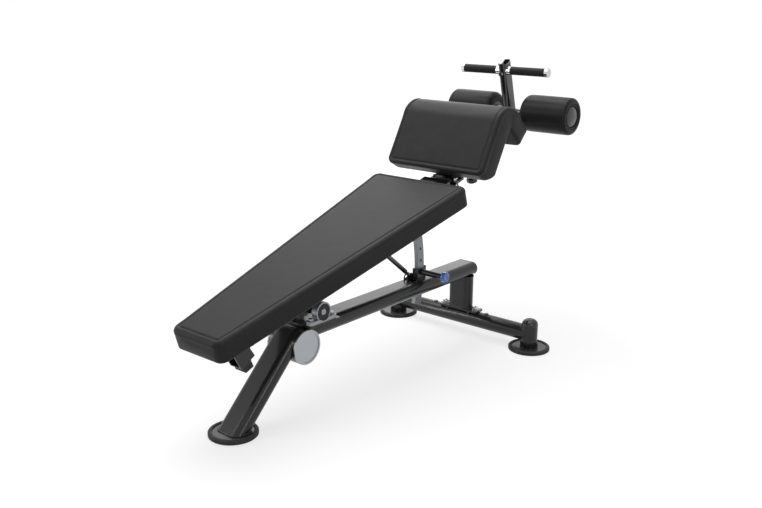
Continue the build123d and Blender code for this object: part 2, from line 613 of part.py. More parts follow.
gas_top = TILTED * Location((GAS_TOP_U, GAS_Y, GAS_TOP_V))
gas_run_x = GAS_LOW_X - gas_top.position.X
gas_run_z = GAS_LOW_Z - gas_top.position.Z
gas_long = hypot(gas_run_x, gas_run_z)
GAS_LINE = Plane(
    origin=gas_top.position,
    x_dir=(gas_run_x / gas_long, 0, gas_run_z / gas_long),
    z_dir=(-gas_run_z / gas_long, 0, gas_run_x / gas_long),
).location


def rod(radius, start, end, mode=Mode.ADD):
    """Round bar along the gas spring's line."""
    with Locations(Location(((start + end) / 2, 0, 0), ALONG_X)):
        Cylinder(radius, end - start, mode=mode)


with BuildPart() as gas_cylinder:
    rod(GAS_TUBE_R, gas_long - GAS_TUBE_END, gas_long - GAS_TUBE_START)
    chamfer(gas_cylinder.edges().group_by(Axis.X)[0], 1)
    chamfer(gas_cylinder.edges().group_by(Axis.X)[-1], 1)
    rod(GAS_TUBE_BORE, gas_long - GAS_TUBE_END + GAS_GUIDE, gas_long - GAS_TUBE_START - 6, Mode.SUBTRACT)
    rod(GAS_ROD_R + RUNNING, gas_long - GAS_TUBE_END, gas_long - GAS_TUBE_END + GAS_GUIDE, Mode.SUBTRACT)
    rod(GAS_ROD_R, gas_long - GAS_TUBE_START, gas_long)
    with across(gas_long, 0):
        Cylinder(GAS_EYE_R, GAS_EYE_WIDE)
        Cylinder(GAS_PIN_R, 2 * (gas_inner + GAS_EAR) + 1)
save(gas_cylinder, "gas_cylinder", GAS_LINE)

with BuildPart() as gas_rod:
    rod(GAS_ROD_R, 0, GAS_ROD_LONG)
    rod(GAS_TUBE_BORE - RUNNING, GAS_ROD_LONG - GAS_PISTON_LONG, GAS_ROD_LONG)
    with across(0, 0):
        Cylinder(GAS_EYE_R, GAS_EYE_WIDE)
        Cylinder(GAS_PIN_R + RUNNING, GAS_EYE_WIDE, mode=Mode.SUBTRACT)
save(gas_rod, "gas_rod", GAS_LINE)

with BuildPart() as gas_top_bracket:
    for side, _ in SIDES:
        ear_y = GAS_Y + side * (gas_inner + GAS_EAR / 2)
        with across(GAS_TOP_U, GAS_TOP_V, ear_y):
            Cylinder(GAS_EYE_R + 1, GAS_EAR)
        with Locations((GAS_TOP_U, ear_y, (GAS_TOP_V + TUBE_V0) / 2)):
            Box(2 * GAS_EYE_R + 2, GAS_EAR, TUBE_V0 - GAS_TOP_V)
    with across(GAS_TOP_U, GAS_TOP_V, GAS_Y):
        Cylinder(GAS_PIN_R, 2 * (gas_inner + GAS_EAR) + 2)
save(gas_top_bracket, "gas_top_bracket", TILTED)

# ================================================================ tilting pad frame
tube_mid = (TUBE_V0 + TUBE_V1) / 2
pad_bolt_spots = [(u, side * PAD_BOLT_Y) for u in PAD_BOLT_U for side, _ in SIDES]
boom_bolt_spots = [(BOOM_BOLT_U, side * BOOM_BOLT_Y) for side, _ in SIDES]
with BuildPart() as pad_frame_tube:
    extrude(flat_oval(level(TUBE_U0, tube_mid), BEAM_WIDE, BEAM_DEEP, BEAM_CORNER, BEAM_WALL),
            amount=TUBE_U1 - TUBE_U0)
    with Locations(*[(u, y, tube_mid) for u, y in pad_bolt_spots]):
        Cylinder(PAD_BOLT_R + BOLT_CLEAR, 2 * BEAM_DEEP, mode=Mode.SUBTRACT)
    with Locations(*[(u, y, TUBE_V1) for u, y in boom_bolt_spots]):
        Cylinder(BOOM_BOLT_R + BOLT_CLEAR, BEAM_DEEP, mode=Mode.SUBTRACT)
save(pad_frame_tube, "pad_frame_tube", TILTED)

with BuildPart() as pad_tube_plugs:
    for end, way in ((TUBE_U0, -1), (TUBE_U1, 1)):
        extrude(flat_oval(level(end, tube_mid), BEAM_WIDE, BEAM_DEEP, BEAM_CORNER), amount=way * PLUG_FLANGE)
        extrude(flat_oval(level(end, tube_mid), BEAM_WIDE - 2 * BEAM_WALL, BEAM_DEEP - 2 * BEAM_WALL,
                          BEAM_CORNER - BEAM_WALL), amount=-way * BEAM_WALL)
save(pad_tube_plugs, "pad_tube_plugs", TILTED)

with BuildPart() as pivot_boss:
    with across(0, 0):
        Cylinder(BOSS_R, 2 * BOSS_HALF)
    with Locations((0, 0, TUBE_V0 / 2)):
        Box(2 * BOSS_R, 2 * BOSS_HALF, TUBE_V0)
    with across(0, 0):
        Cylinder(SHAFT_R, 2 * BOSS_HALF, mode=Mode.SUBTRACT)
save(pivot_boss, "pivot_boss", TILTED)

with BuildPart() as pivot_shaft:
    with across(0, 0):
        Cylinder(SHAFT_R, 2 * SHAFT_HALF)
    chamfer(pivot_shaft.edges().group_by(Axis.Y)[0], 1)
    chamfer(pivot_shaft.edges().group_by(Axis.Y)[-1], 1)
save(pivot_shaft, "pivot_shaft", TILTED)

# Curved strut: flat bar on an arc about the pivot, with the tilt holes across it.
pin_angle = degrees(asin((PIN_Z - PIVOT_Z) / STRUT_R)) - TILT
strut_out = STRUT_R + STRUT_DEEP / 2
strut_in = STRUT_R - STRUT_DEEP / 2
with BuildPart() as curved_strut:
    with BuildSketch(Plane.XZ):
        with BuildLine():
            outer = CenterArc((0, 0), strut_out, STRUT_LOW, degrees(asin(TUBE_V0 / strut_out)) - STRUT_LOW)
            inner = CenterArc((0, 0), strut_in, STRUT_LOW, degrees(asin(TUBE_V0 / strut_in)) - STRUT_LOW)
            Line(outer @ 0, inner @ 0)
            Line(outer @ 1, inner @ 1)
        make_face()
    extrude(amount=STRUT_THICK / 2, both=True)
    for step in range(-HOLES_EACH_WAY, HOLES_EACH_WAY + 1):
        hole = radians(pin_angle + step * HOLE_STEP)
        with across(STRUT_R * cos(hole), STRUT_R * sin(hole)):
            Cylinder(STRUT_HOLE_R, 2 * STRUT_THICK, mode=Mode.SUBTRACT)
save(curved_strut, "curved_strut", TILTED)

# Decline stop: folded bracket under the head end with a rubber block that meets the leg.
with BuildPart() as stop_bracket:
    extrude(outline(STOP_OUTLINE), amount=STOP_HALF, both=True)
    extrude(outline(STOP_HOLLOW), amount=STOP_HALF - STOP_SHEET, both=True, mode=Mode.SUBTRACT)
save(stop_bracket, "stop_bracket", TILTED)

with BuildPart() as rubber_bumper:
    extrude(outline(BUMPER_OUTLINE), amount=STOP_HALF - STOP_SHEET / 2, both=True)
    fillet(rubber_bumper.edges().filter_by(Axis.Y).group_by(Axis.Z)[0], BUMPER_R)
save(rubber_bumper, "rubber_bumper", TILTED)

# ================================================================ main pad
def pad_plan(height, inset=0.0):
    """Plan of the tapering pad at one height, drawn in from its edge by inset."""
    with BuildSketch(Plane.XY.offset(height)) as plan:
        with BuildLine():
            Polyline((PAD_U0, PAD_HALF0), (PAD_U0, -PAD_HALF0), (PAD_U1, -PAD_HALF1), (PAD_U1, PAD_HALF1),
                     close=True)
        make_face()
        fillet(plan.vertices(), PAD_PLAN_R)
        if inset:
            offset(amount=-inset, mode=Mode.REPLACE)
    return plan.sketch


with BuildPart() as main_pad:
    extrude(pad_plan(TUBE_V1), amount=PAD_TOP - TUBE_V1)
    fillet(main_pad.edges().group_by(Axis.Z)[-1], PAD_TOP_R)
    fillet(main_pad.edges().group_by(Axis.Z)[0], PAD_LOW_R)
    extrude(pad_plan(TUBE_V1, BOARD_INSET), amount=BOARD_THICK, mode=Mode.SUBTRACT)
save(main_pad, "main_pad", TILTED)

with BuildPart() as pad_board:
    extrude(pad_plan(TUBE_V1, BOARD_INSET), amount=BOARD_THICK)
    with Locations(*[(u, y, TUBE_V1) for u, y in pad_bolt_spots]):
        Cylinder(PAD_BOLT_R, 2 * PAD_BOLT_BITE, mode=Mode.SUBTRACT)
save(pad_board, "pad_board", TILTED)

with BuildPart() as pad_bolts:
    with Locations(*[(u, y, TUBE_V0) for u, y in pad_bolt_spots]):
        Cylinder(PAD_BOLT_HEAD_R, PAD_BOLT_HEAD, align=HIGH)
        Cylinder(PAD_BOLT_R, BEAM_DEEP + PAD_BOLT_BITE, align=LOW)
save(pad_bolts, "pad_bolts", TILTED)

with BuildPart() as pad_end_bar:
    with Locations(((BAR_U0 + BAR_U1) / 2, 0, (TUBE_V1 + BAR_TOP) / 2)):
        Box(BAR_U1 - BAR_U0, 2 * BAR_HALF, BAR_TOP - TUBE_V1)
    fillet(pad_end_bar.edges().filter_by(Axis.X), 8)
save(pad_end_bar, "pad_end_bar", TILTED)

# ================================================================ boom and knee pad
boom_end = BOOM_U1 - BOOM_U0
with BuildPart() as outer_boom:
    extrude(flat_oval(level(BOOM_U0, BOOM_V), BOOM_WIDE, BOOM_HIGH, BOOM_CORNER, BOOM_WALL), amount=boom_end)
    extrude(outline(NOSE_CUT), amount=BOOM_WIDE, both=True, mode=Mode.SUBTRACT)
    extrude(outline(NOSE_PLATE), amount=BOOM_WIDE / 2 - 1, both=True)
    with Locations(((FOOT_U0 + FOOT_U1) / 2, 0, (TUBE_V1 + BOOM_V0) / 2)):
        Box(FOOT_U1 - FOOT_U0, 2 * FOOT_HALF, BOOM_V0 - TUBE_V1)
    with Locations(*[(u, y, BOOM_V0) for u, y in boom_bolt_spots]):
        Cylinder(BOOM_BOLT_R + BOLT_CLEAR, 3 * (BOOM_V0 - TUBE_V1), mode=Mode.SUBTRACT)
    with Locations((KNEE_PIN_U, 0, KNEE_BARREL_LOW)):
        Cylinder(BARREL_R, BOOM_V0 + 1 - KNEE_BARREL_LOW, align=LOW)
        Cylinder(PIN_R + RUNNING, BOOM_V0 + BOOM_WALL - KNEE_BARREL_LOW, align=LOW, mode=Mode.SUBTRACT)
save(outer_boom, "outer_boom", TILTED)

with BuildPart() as boom_bolts:
    acorn_nut(boom_bolt_spots, BOOM_V0, 3 * (BOOM_V0 - TUBE_V1), BOOM_NUT_R, BOOM_BOLT_R)
save(boom_bolts, "boom_bolts", TILTED)

front_out = (-sin(radians(KNEE_FRONT_FALL)), cos(radians(KNEE_FRONT_FALL)))
front_run = (-cos(radians(KNEE_FRONT_FALL)), -sin(radians(KNEE_FRONT_FALL)))
back_out = (sin(radians(KNEE_BACK_FALL)), cos(radians(KNEE_BACK_FALL)))
back_run = (cos(radians(KNEE_BACK_FALL)), -sin(radians(KNEE_BACK_FALL)))


def ridge(front, back):
    """Corner where the two lobes meet, at a depth outside each inner face."""
    cross = cos(radians(KNEE_FRONT_FALL + KNEE_BACK_FALL))
    a = (front - cross * back) / (1 - cross**2)
    b = (back - cross * front) / (1 - cross**2)
    return (KNEE_APEX[0] + a * front_out[0] + b * back_out[0], KNEE_APEX[1] + a * front_out[1] + b * back_out[1])


def lobe(run, out, along, depth):
    """Point at a distance down one lobe and a depth outside its inner face."""
    return (KNEE_APEX[0] + along * run[0] + depth * out[0], KNEE_APEX[1] + along * run[1] + depth * out[1])


def knee_layer(low, front, back, front_long, back_long):
    """Corners of a bent layer, from a low depth to a depth on each lobe."""
    return [ridge(low, low), lobe(front_run, front_out, front_long, low),
            lobe(front_run, front_out, front_long, front), ridge(front, back),
            lobe(back_run, back_out, back_long, back), lobe(back_run, back_out, back_long, low)]


board_layer = knee_layer(0, KNEE_BOARD, KNEE_BOARD, KNEE_FRONT_LONG - KNEE_INSET - 10,
                         KNEE_BACK_LONG - KNEE_INSET)
with BuildPart() as knee_pad:
    corners = knee_layer(0, KNEE_FRONT_THICK, KNEE_BACK_THICK, KNEE_FRONT_LONG, KNEE_BACK_LONG)
    with BuildSketch(Plane.XZ) as knee_profile:
        with BuildLine():
            Polyline(*corners, close=True)
        make_face()
        for spot, radius in ((3, KNEE_CROWN_R), (1, KNEE_END_R), (2, KNEE_ROLL_R), (4, KNEE_BACK_R), (5, KNEE_LIP_R)):
            fillet(knee_profile.vertices().sort_by_distance(corners[spot])[0], radius)
    extrude(amount=KNEE_HALF, both=True)
    fillet(knee_pad.edges().group_by(Axis.Y)[0], KNEE_SIDE_R)
    fillet(knee_pad.edges().group_by(Axis.Y)[-1], KNEE_SIDE_R)
    extrude(outline(board_layer), amount=KNEE_HALF - KNEE_INSET, both=True, mode=Mode.SUBTRACT)
save(knee_pad, "knee_pad", TILTED)

with BuildPart() as knee_board:
    extrude(outline(board_layer), amount=KNEE_HALF - KNEE_INSET, both=True)
save(knee_board, "knee_board", TILTED)

# Knee bracket: bent plate under the board on two cheeks welded to the boom.
with BuildPart() as knee_bracket:
    extrude(outline(knee_layer(-KNEE_PLATE, 0, 0, PLATE_FRONT, PLATE_BACK)), amount=KNEE_PLATE_HALF, both=True)
    cheek = [(CHEEK_U0, CHEEK_V0), (CHEEK_U0, KNEE_APEX[1] - KNEE_APEX[0] + CHEEK_U0 - 3),
             ridge(-KNEE_PLATE / 2, -KNEE_PLATE / 2), lobe(back_run, back_out, PLATE_BACK, -KNEE_PLATE / 2),
             (CHEEK_U1, CHEEK_V0)]
    extrude(outline(cheek), amount=BOOM_WIDE / 2 + KNEE_CHEEK, both=True)
    extrude(outline(cheek), amount=BOOM_WIDE / 2, both=True, mode=Mode.SUBTRACT)
    extrude(outline(knee_layer(-KNEE_PLATE, 0, 0, PLATE_FRONT, PLATE_BACK)), amount=KNEE_PLATE_HALF, both=True)
save(knee_bracket, "knee_bracket", TILTED)

with BuildPart() as knee_pull_pin:
    with Locations((KNEE_PIN_U, 0, (KNEE_KNOB_LOW + KNEE_BARREL_LOW) / 2)):
        Cylinder(PIN_R, BOOM_V0 + BOOM_WALL - (KNEE_KNOB_LOW + KNEE_BARREL_LOW) / 2, align=LOW)
save(knee_pull_pin, "knee_pull_pin", TILTED)

with BuildPart() as knee_knob:
    with Locations((KNEE_PIN_U, 0, KNEE_KNOB_LOW)):
        Cylinder(KNEE_KNOB_R, KNEE_BARREL_LOW - SOFT_CLEAR - KNEE_KNOB_LOW, align=LOW)
    fillet(knee_knob.edges().group_by(Axis.Z)[0], 7)
    fillet(knee_knob.edges().group_by(Axis.Z)[-1], 3)
    with Locations((KNEE_PIN_U, 0, (KNEE_KNOB_LOW + KNEE_BARREL_LOW) / 2)):
        Cylinder(PIN_R, KNEE_BARREL_LOW, align=LOW, mode=Mode.SUBTRACT)
save(knee_knob, "knee_knob", TILTED)

# ================================================================ sliding carriage
inner_wide = BOOM_WIDE - 2 * BOOM_WALL - 2 * SLIDING
inner_high = BOOM_HIGH - 2 * BOOM_WALL - 2 * SLIDING
with BuildPart() as inner_boom:
    extrude(flat_oval(level(INNER_U0, BOOM_V), inner_wide, inner_high, BOOM_CORNER - BOOM_WALL - SLIDING, INNER_WALL),
            amount=POST_U - INNER_U0)
    with BuildSketch(Plane.XY.offset(UPRIGHT_V0)):
        with Locations((POST_U, 0)):
            RectangleRounded(UPRIGHT_LONG, UPRIGHT_THICK, UPRIGHT_CORNER)
    extrude(amount=UPRIGHT_V1, mode=Mode.SUBTRACT)
    with Locations((POST_U + UPRIGHT_LONG / 2 - UPRIGHT_CORNER, 0, BOOM_V)):
        Box(UPRIGHT_LONG, 2 * BOOM_WIDE, 2 * BOOM_HIGH, mode=Mode.SUBTRACT)
    with Locations(*[(KNEE_PIN_U + step * BOOM_HOLE_PITCH, 0, BOOM_V0) for step in range(-2, 3)]):
        Cylinder(STRUT_HOLE_R, BOOM_HIGH / 2, mode=Mode.SUBTRACT)
save(inner_boom, "inner_boom", TILTED)

upright_plane = Plane(origin=(POST_U, 0, UPRIGHT_V0), x_dir=(1, 0, 0), z_dir=(0, 0, 1))
with BuildPart() as upright_post:
    extrude(flat_oval(upright_plane, UPRIGHT_LONG, UPRIGHT_THICK, UPRIGHT_CORNER, BEAM_WALL),
            amount=UPRIGHT_V1 - UPRIGHT_V0)
    extrude(flat_oval(upright_plane, UPRIGHT_LONG, UPRIGHT_THICK, UPRIGHT_CORNER), amount=BEAM_WALL)
    with across(POST_U, UPRIGHT_V1 + UPRIGHT_NOTCH_R - UPRIGHT_NOTCH):
        Cylinder(UPRIGHT_NOTCH_R, 2 * UPRIGHT_LONG, mode=Mode.SUBTRACT)
    with across(HANDLE_U, HANDLE_V):
        Cylinder(HANDLE_R, 2 * UPRIGHT_LONG, mode=Mode.SUBTRACT)
    with across(AXLE_U, AXLE_V):
        Cylinder(AXLE_R, 2 * UPRIGHT_LONG, mode=Mode.SUBTRACT)
    with Locations(Location((POST_U - UPRIGHT_LONG / 2, 0, SET_BOLT_V), ALONG_X)):
        Cylinder(SET_BOLT_R, 4 * BEAM_WALL, mode=Mode.SUBTRACT)
save(upright_post, "upright_post", TILTED)

with BuildPart() as handle_bar:
    with across(HANDLE_U, HANDLE_V):
        Cylinder(HANDLE_R, 2 * HANDLE_HALF)
        Cylinder(HANDLE_R - HANDLE_WALL, 2 * HANDLE_HALF, mode=Mode.SUBTRACT)
save(handle_bar, "handle_bar", TILTED)

for side, word in SIDES:
    with BuildPart() as handle_grip:
        with across(HANDLE_U, HANDLE_V, side * (GRIP_Y0 + GRIP_Y1) / 2):
            Cylinder(GRIP_R, GRIP_Y1 - GRIP_Y0)
            Cylinder(HANDLE_R, GRIP_Y1 - GRIP_Y0, mode=Mode.SUBTRACT)
    save(handle_grip, f"handle_grip_{word}", TILTED)

# Bright trim of the handle: end caps, collars beside the upright and the set bolt.
with BuildPart() as handle_trim:
    for side, _ in SIDES:
        with across(HANDLE_U, HANDLE_V, side * (GRIP_Y1 + END_CAP_Y) / 2):
            Cylinder(END_CAP_R, END_CAP_Y - GRIP_Y1)
            Cylinder(HANDLE_R, END_CAP_Y - GRIP_Y1, mode=Mode.SUBTRACT)
        with across(HANDLE_U, HANDLE_V, side * (HANDLE_HALF + END_CAP_Y) / 2):
            Cylinder(END_CAP_R - 1, END_CAP_Y - HANDLE_HALF)
        with across(HANDLE_U, HANDLE_V, side * (COLLAR_Y0 + GRIP_Y0) / 2):
            Cylinder(COLLAR_R, GRIP_Y0 - COLLAR_Y0)
            Cylinder(HANDLE_R, GRIP_Y0 - COLLAR_Y0, mode=Mode.SUBTRACT)
    bolt_u = POST_U - UPRIGHT_LONG / 2
    with Locations(Location((bolt_u - SET_HEAD / 2, 0, SET_BOLT_V), ALONG_X)):
        Cylinder(SET_HEAD_R, SET_HEAD)
    with Locations(Location((bolt_u + 2 * BEAM_WALL / 2 - 1, 0, SET_BOLT_V), ALONG_X)):
        Cylinder(SET_BOLT_R, 2 * BEAM_WALL - 2)
save(handle_trim, "handle_trim", TILTED)

# ================================================================ ankle rollers
with BuildPart() as roller_axle:
    with across(AXLE_U, AXLE_V):
        Cylinder(AXLE_R, 2 * AXLE_HALF)
save(roller_axle, "roller_axle", TILTED)

with BuildPart() as axle_collars:
    for side, _ in SIDES:
        for start, end, radius in ((AXLE_COLLAR_Y0, AXLE_COLLAR_Y1, AXLE_COLLAR_R),
                                   (AXLE_HALF - AXLE_NUT, AXLE_HALF, AXLE_NUT_R)):
            with across(AXLE_U, AXLE_V, side * (start + end) / 2):
                Cylinder(radius, end - start)
                Cylinder(AXLE_R, end - start, mode=Mode.SUBTRACT)
save(axle_collars, "axle_collars", TILTED)

for side, word in SIDES:
    with BuildPart() as roller_core:
        with across(AXLE_U, AXLE_V, side * (ROLLER_Y0 + ROLLER_Y1 - CORE_CAP) / 2):
            Cylinder(CORE_R, ROLLER_Y1 - CORE_CAP - ROLLER_Y0)
        with across(AXLE_U, AXLE_V, side * (ROLLER_Y0 + CORE_FLANGE / 2)):
            Cylinder(CORE_FLANGE_R, CORE_FLANGE)
        with across(AXLE_U, AXLE_V, side * (ROLLER_Y1 - CORE_CAP / 2)):
            Cylinder(CORE_CAP_R, CORE_CAP)
        fillet(roller_core.edges().group_by(Axis.Y)[-1 if side > 0 else 0], CORE_CAP - 1)
        with across(AXLE_U, AXLE_V, side * (ROLLER_Y0 + CORE_BORE_END) / 2):
            Cylinder(AXLE_R + RUNNING, CORE_BORE_END - ROLLER_Y0, mode=Mode.SUBTRACT)
        with across(AXLE_U, AXLE_V, side * (CORE_BORE_END + ROLLER_Y1 - CORE_CAP) / 2):
            Cylinder(CORE_CAVITY_R, ROLLER_Y1 - CORE_CAP - CORE_BORE_END, mode=Mode.SUBTRACT)
    save(roller_core, f"roller_core_{word}", TILTED)

    with BuildPart() as roller_foam:
        with across(AXLE_U, AXLE_V, side * (ROLLER_Y0 + ROLLER_Y1) / 2):
            Cylinder(ROLLER_R, ROLLER_Y1 - ROLLER_Y0)
        fillet(roller_foam.edges().group_by(Axis.Y)[0], ROLLER_EDGE)
        fillet(roller_foam.edges().group_by(Axis.Y)[-1], ROLLER_EDGE)
        with across(AXLE_U, AXLE_V, side * (ROLLER_Y0 + ROLLER_Y1) / 2):
            Cylinder(CORE_R, ROLLER_Y1 - ROLLER_Y0, mode=Mode.SUBTRACT)
        with across(AXLE_U, AXLE_V, side * (ROLLER_Y0 + CORE_FLANGE / 2)):
            Cylinder(CORE_FLANGE_R, CORE_FLANGE, mode=Mode.SUBTRACT)
        with across(AXLE_U, AXLE_V, side * (ROLLER_Y1 - CORE_CAP / 2)):
            Cylinder(CORE_CAP_R, CORE_CAP, mode=Mode.SUBTRACT)
    save(roller_foam, f"roller_foam_{word}", TILTED)
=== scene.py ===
import json
import math

import bpy
import numpy as np
from mathutils import Matrix, Vector


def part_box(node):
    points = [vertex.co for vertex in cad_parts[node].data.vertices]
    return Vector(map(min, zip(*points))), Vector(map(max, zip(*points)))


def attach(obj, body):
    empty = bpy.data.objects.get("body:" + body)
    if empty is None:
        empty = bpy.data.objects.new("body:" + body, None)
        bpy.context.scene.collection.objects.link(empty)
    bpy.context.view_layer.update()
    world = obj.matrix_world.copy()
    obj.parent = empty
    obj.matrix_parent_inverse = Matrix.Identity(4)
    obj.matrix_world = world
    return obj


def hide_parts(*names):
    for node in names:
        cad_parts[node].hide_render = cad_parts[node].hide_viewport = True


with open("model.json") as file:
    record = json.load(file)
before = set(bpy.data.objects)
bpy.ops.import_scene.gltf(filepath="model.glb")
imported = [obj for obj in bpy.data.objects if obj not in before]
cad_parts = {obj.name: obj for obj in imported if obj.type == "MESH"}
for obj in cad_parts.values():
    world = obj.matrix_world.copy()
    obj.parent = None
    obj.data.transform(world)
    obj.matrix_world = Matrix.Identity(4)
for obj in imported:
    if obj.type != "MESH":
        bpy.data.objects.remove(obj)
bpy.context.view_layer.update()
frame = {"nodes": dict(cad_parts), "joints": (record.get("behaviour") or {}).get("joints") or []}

# Camera: at the head end, on the right-hand side and a little above the bench, looking along it towards
# the ankle rollers. It is level but for a third of a degree.
CAMERA_PLACE = Vector((-2.34203, -1.9356, 1.2752))
AZIMUTH, ELEVATION, ROLL = math.radians(-50.07), math.radians(15.87), math.radians(0.33)
camera_data = bpy.data.cameras.new("camera")
camera_data.lens = 42.88
camera_data.sensor_width = 36.0
camera = bpy.data.objects.new("camera", camera_data)
bpy.context.scene.collection.objects.link(camera)
camera.matrix_world = (Matrix.Translation(CAMERA_PLACE)
                       @ Matrix.Rotation(AZIMUTH, 4, "Z")
                       @ Matrix.Rotation(math.pi / 2 - ELEVATION, 4, "X")
                       @ Matrix.Rotation(ROLL, 4, "Z"))
bpy.context.scene.camera = camera
bpy.context.scene.view_settings.view_transform = "Standard"

# Studio: a white surround that lights the bench only dimly, one large soft light overhead, a dim one
# behind, and two narrow upright ones that draw long reflections down the rounded edges.
SURROUND_LIGHT, SURROUND_WHITE = 0.08, 1.0


def linear(colour):
    """sRGB hex to linear RGBA: each channel is undone by the sRGB curve, alpha is 1."""
    channels = [int(colour[i:i + 2], 16) / 255 for i in (1, 3, 5)]
    return [c / 12.92 if c <= 0.04045 else ((c + 0.055) / 1.055) ** 2.4 for c in channels] + [1.0]


def add(tree, kind, inputs=(), links=(), **settings):
    """Adds one node, with its settings, its input values by name and its links as (input, node, output)."""
    node = tree.nodes.new(kind)
    for name, value in settings.items():
        setattr(node, name, value)
    for name, value in dict(inputs).items():
        node.inputs[name].default_value = value
    for name, source, output in links:
        tree.links.new(source.outputs[output], node.inputs[name])
    return node


world = bpy.data.worlds.new("white studio")
bpy.context.scene.world = world
world.use_nodes = True
tree = world.node_tree
tree.nodes.clear()
ray = add(tree, "ShaderNodeLightPath")
seen = add(tree, "ShaderNodeMath", operation="MAXIMUM",
           links=[(0, ray, "Is Camera Ray"), (1, ray, "Is Transmission Ray")])
mirrored = add(tree, "ShaderNodeMath", operation="MAXIMUM", links=[(0, seen, 0), (1, ray, "Is Glossy Ray")])
soft = add(tree, "ShaderNodeBackground", {"Color": linear("#ffffff"), "Strength": SURROUND_LIGHT})
white = add(tree, "ShaderNodeBackground", {"Color": linear("#ffffff"), "Strength": SURROUND_WHITE})
both = add(tree, "ShaderNodeMixShader", links=[("Fac", mirrored, 0), (1, soft, 0), (2, white, 0)])
add(tree, "ShaderNodeOutputWorld", links=[("Surface", both, 0)])


def soft_light(name, place, target, width, height, watts):
    """Area light at a place, turned to face its target."""
    data = bpy.data.lights.new(name, "AREA")
    data.shape, data.size, data.size_y, data.energy = "RECTANGLE", width, height, watts
    light = bpy.data.objects.new(name, data)
    bpy.context.scene.collection.objects.link(light)
    aim = Vector(target) - Vector(place)
    light.matrix_world = Matrix.Translation(Vector(place)) @ aim.to_track_quat("-Z", "Y").to_matrix().to_4x4()


soft_light("overhead", (0.2, 0.6, 3.4), (0.0, 0.0, 0.3), width=3.2, height=3.2, watts=100)
soft_light("behind", (2.6, 2.6, 1.9), (0.2, 0.0, 0.5), width=2.4, height=2.4, watts=14)
soft_light("near strip", (-1.5, -3.2, 2.0), (0.0, 0.0, 0.4), width=0.24, height=2.4, watts=16)
soft_light("head strip", (-2.6, 2.2, 1.1), (0.0, 0.0, 0.4), width=0.16, height=2.4, watts=14)

# Floor: pale matt paint, white to the camera and in reflections. Its glow rises from under the bench,
# where the lights reach, to the far floor, where they don't, so that the bench's soft shadow stays.
FLOOR_HALF = 60
GLOW_NEAR, GLOW_FAR = 0.9, 3.2  # metres from the middle of the bench, where the glow starts and stops rising
GLOW_LOW, GLOW_HIGH = 0.72, 1.0


def surface(name, colour, roughness, metallic=0.0, **inputs):
    """New material: its tree and its Principled shader with constant values on the shader's own sockets."""
    material = bpy.data.materials.new(name)
    material.use_nodes = True
    tree = material.node_tree
    tree.nodes.clear()
    values = {"Base Color": linear(colour), "Roughness": roughness, "Metallic": metallic}
    values.update({key.replace("_", " "): value for key, value in inputs.items()})
    shader = add(tree, "ShaderNodeBsdfPrincipled", values)
    add(tree, "ShaderNodeOutputMaterial", links=[("Surface", shader, 0)])
    return material, tree, shader


floor_paint, tree, shader = surface("pale studio floor", "#b0b0b0", 0.9, Specular_IOR_Level=0.0,
                                    Emission_Color=linear("#ffffff"))
ray = add(tree, "ShaderNodeLightPath")
seen = add(tree, "ShaderNodeMath", operation="MAXIMUM",
           links=[(0, ray, "Is Camera Ray"), (1, ray, "Is Glossy Ray")])
spot = add(tree, "ShaderNodeNewGeometry")
reach = add(tree, "ShaderNodeVectorMath", operation="LENGTH", links=[(0, spot, "Position")])
rise = add(tree, "ShaderNodeMapRange",
           {"From Min": GLOW_NEAR, "From Max": GLOW_FAR, "To Min": GLOW_LOW, "To Max": GLOW_HIGH},
           [("Value", reach, "Value")])
glow = add(tree, "ShaderNodeMath", operation="MULTIPLY", links=[(0, seen, 0), (1, rise, 0)])
tree.links.new(glow.outputs[0], shader.inputs["Emission Strength"])
floor_mesh = bpy.data.meshes.new("floor")
floor_mesh.from_pydata([(-FLOOR_HALF, -FLOOR_HALF, 0), (FLOOR_HALF, -FLOOR_HALF, 0),
                        (FLOOR_HALF, FLOOR_HALF, 0), (-FLOOR_HALF, FLOOR_HALF, 0)], [], [(0, 1, 2, 3)])
floor = bpy.data.objects.new("floor", floor_mesh)
bpy.context.scene.collection.objects.link(floor)
floor.data.materials.append(floor_paint)

# Frame: bent and straight lengths of flat-oval steel tube, 100 by 50 mm, and 60 mm round tube, welded and
# powder coated dark grey. The melted powder gives a satin skin with shallow orange peel about 3 mm
# across and a faint sparkle in its tone.


def dress(material, *names):
    """Gives CAD nodes their material by filling every slot they have."""
    for name in names:
        slots = frame["nodes"][name].data.materials
        for i in range(len(slots)):
            slots[i] = material
        if not len(slots):
            slots.append(material)


def clouds(tree, size_mm, detail=3.0):
    """Noise whose patches have a size in millimetres, on the piece's own coordinates."""
    place = add(tree, "ShaderNodeTexCoord")
    return add(tree, "ShaderNodeTexNoise", {"Scale": 1000 / size_mm, "Detail": detail},
               [("Vector", place, "Object")])


def drift(tree, shader, size_mm, low, high):
    """Roughness that drifts between low and high over patches of a size, as noise goes from 0.3 to 0.7."""
    spread = add(tree, "ShaderNodeMapRange",
                 {"From Min": 0.3, "From Max": 0.7, "To Min": low, "To Max": high},
                 [("Value", clouds(tree, size_mm), "Fac")])
    tree.links.new(spread.outputs[0], shader.inputs["Roughness"])


def tint(tree, shader, pattern, output, dark, light):
    """Base colour between two hex colours by a pattern's value."""
    shade = add(tree, "ShaderNodeMix", {"A": linear(dark), "B": linear(light)}, [("Factor", pattern, output)],
                data_type="RGBA")
    tree.links.new(shade.outputs["Result"], shader.inputs["Base Color"])


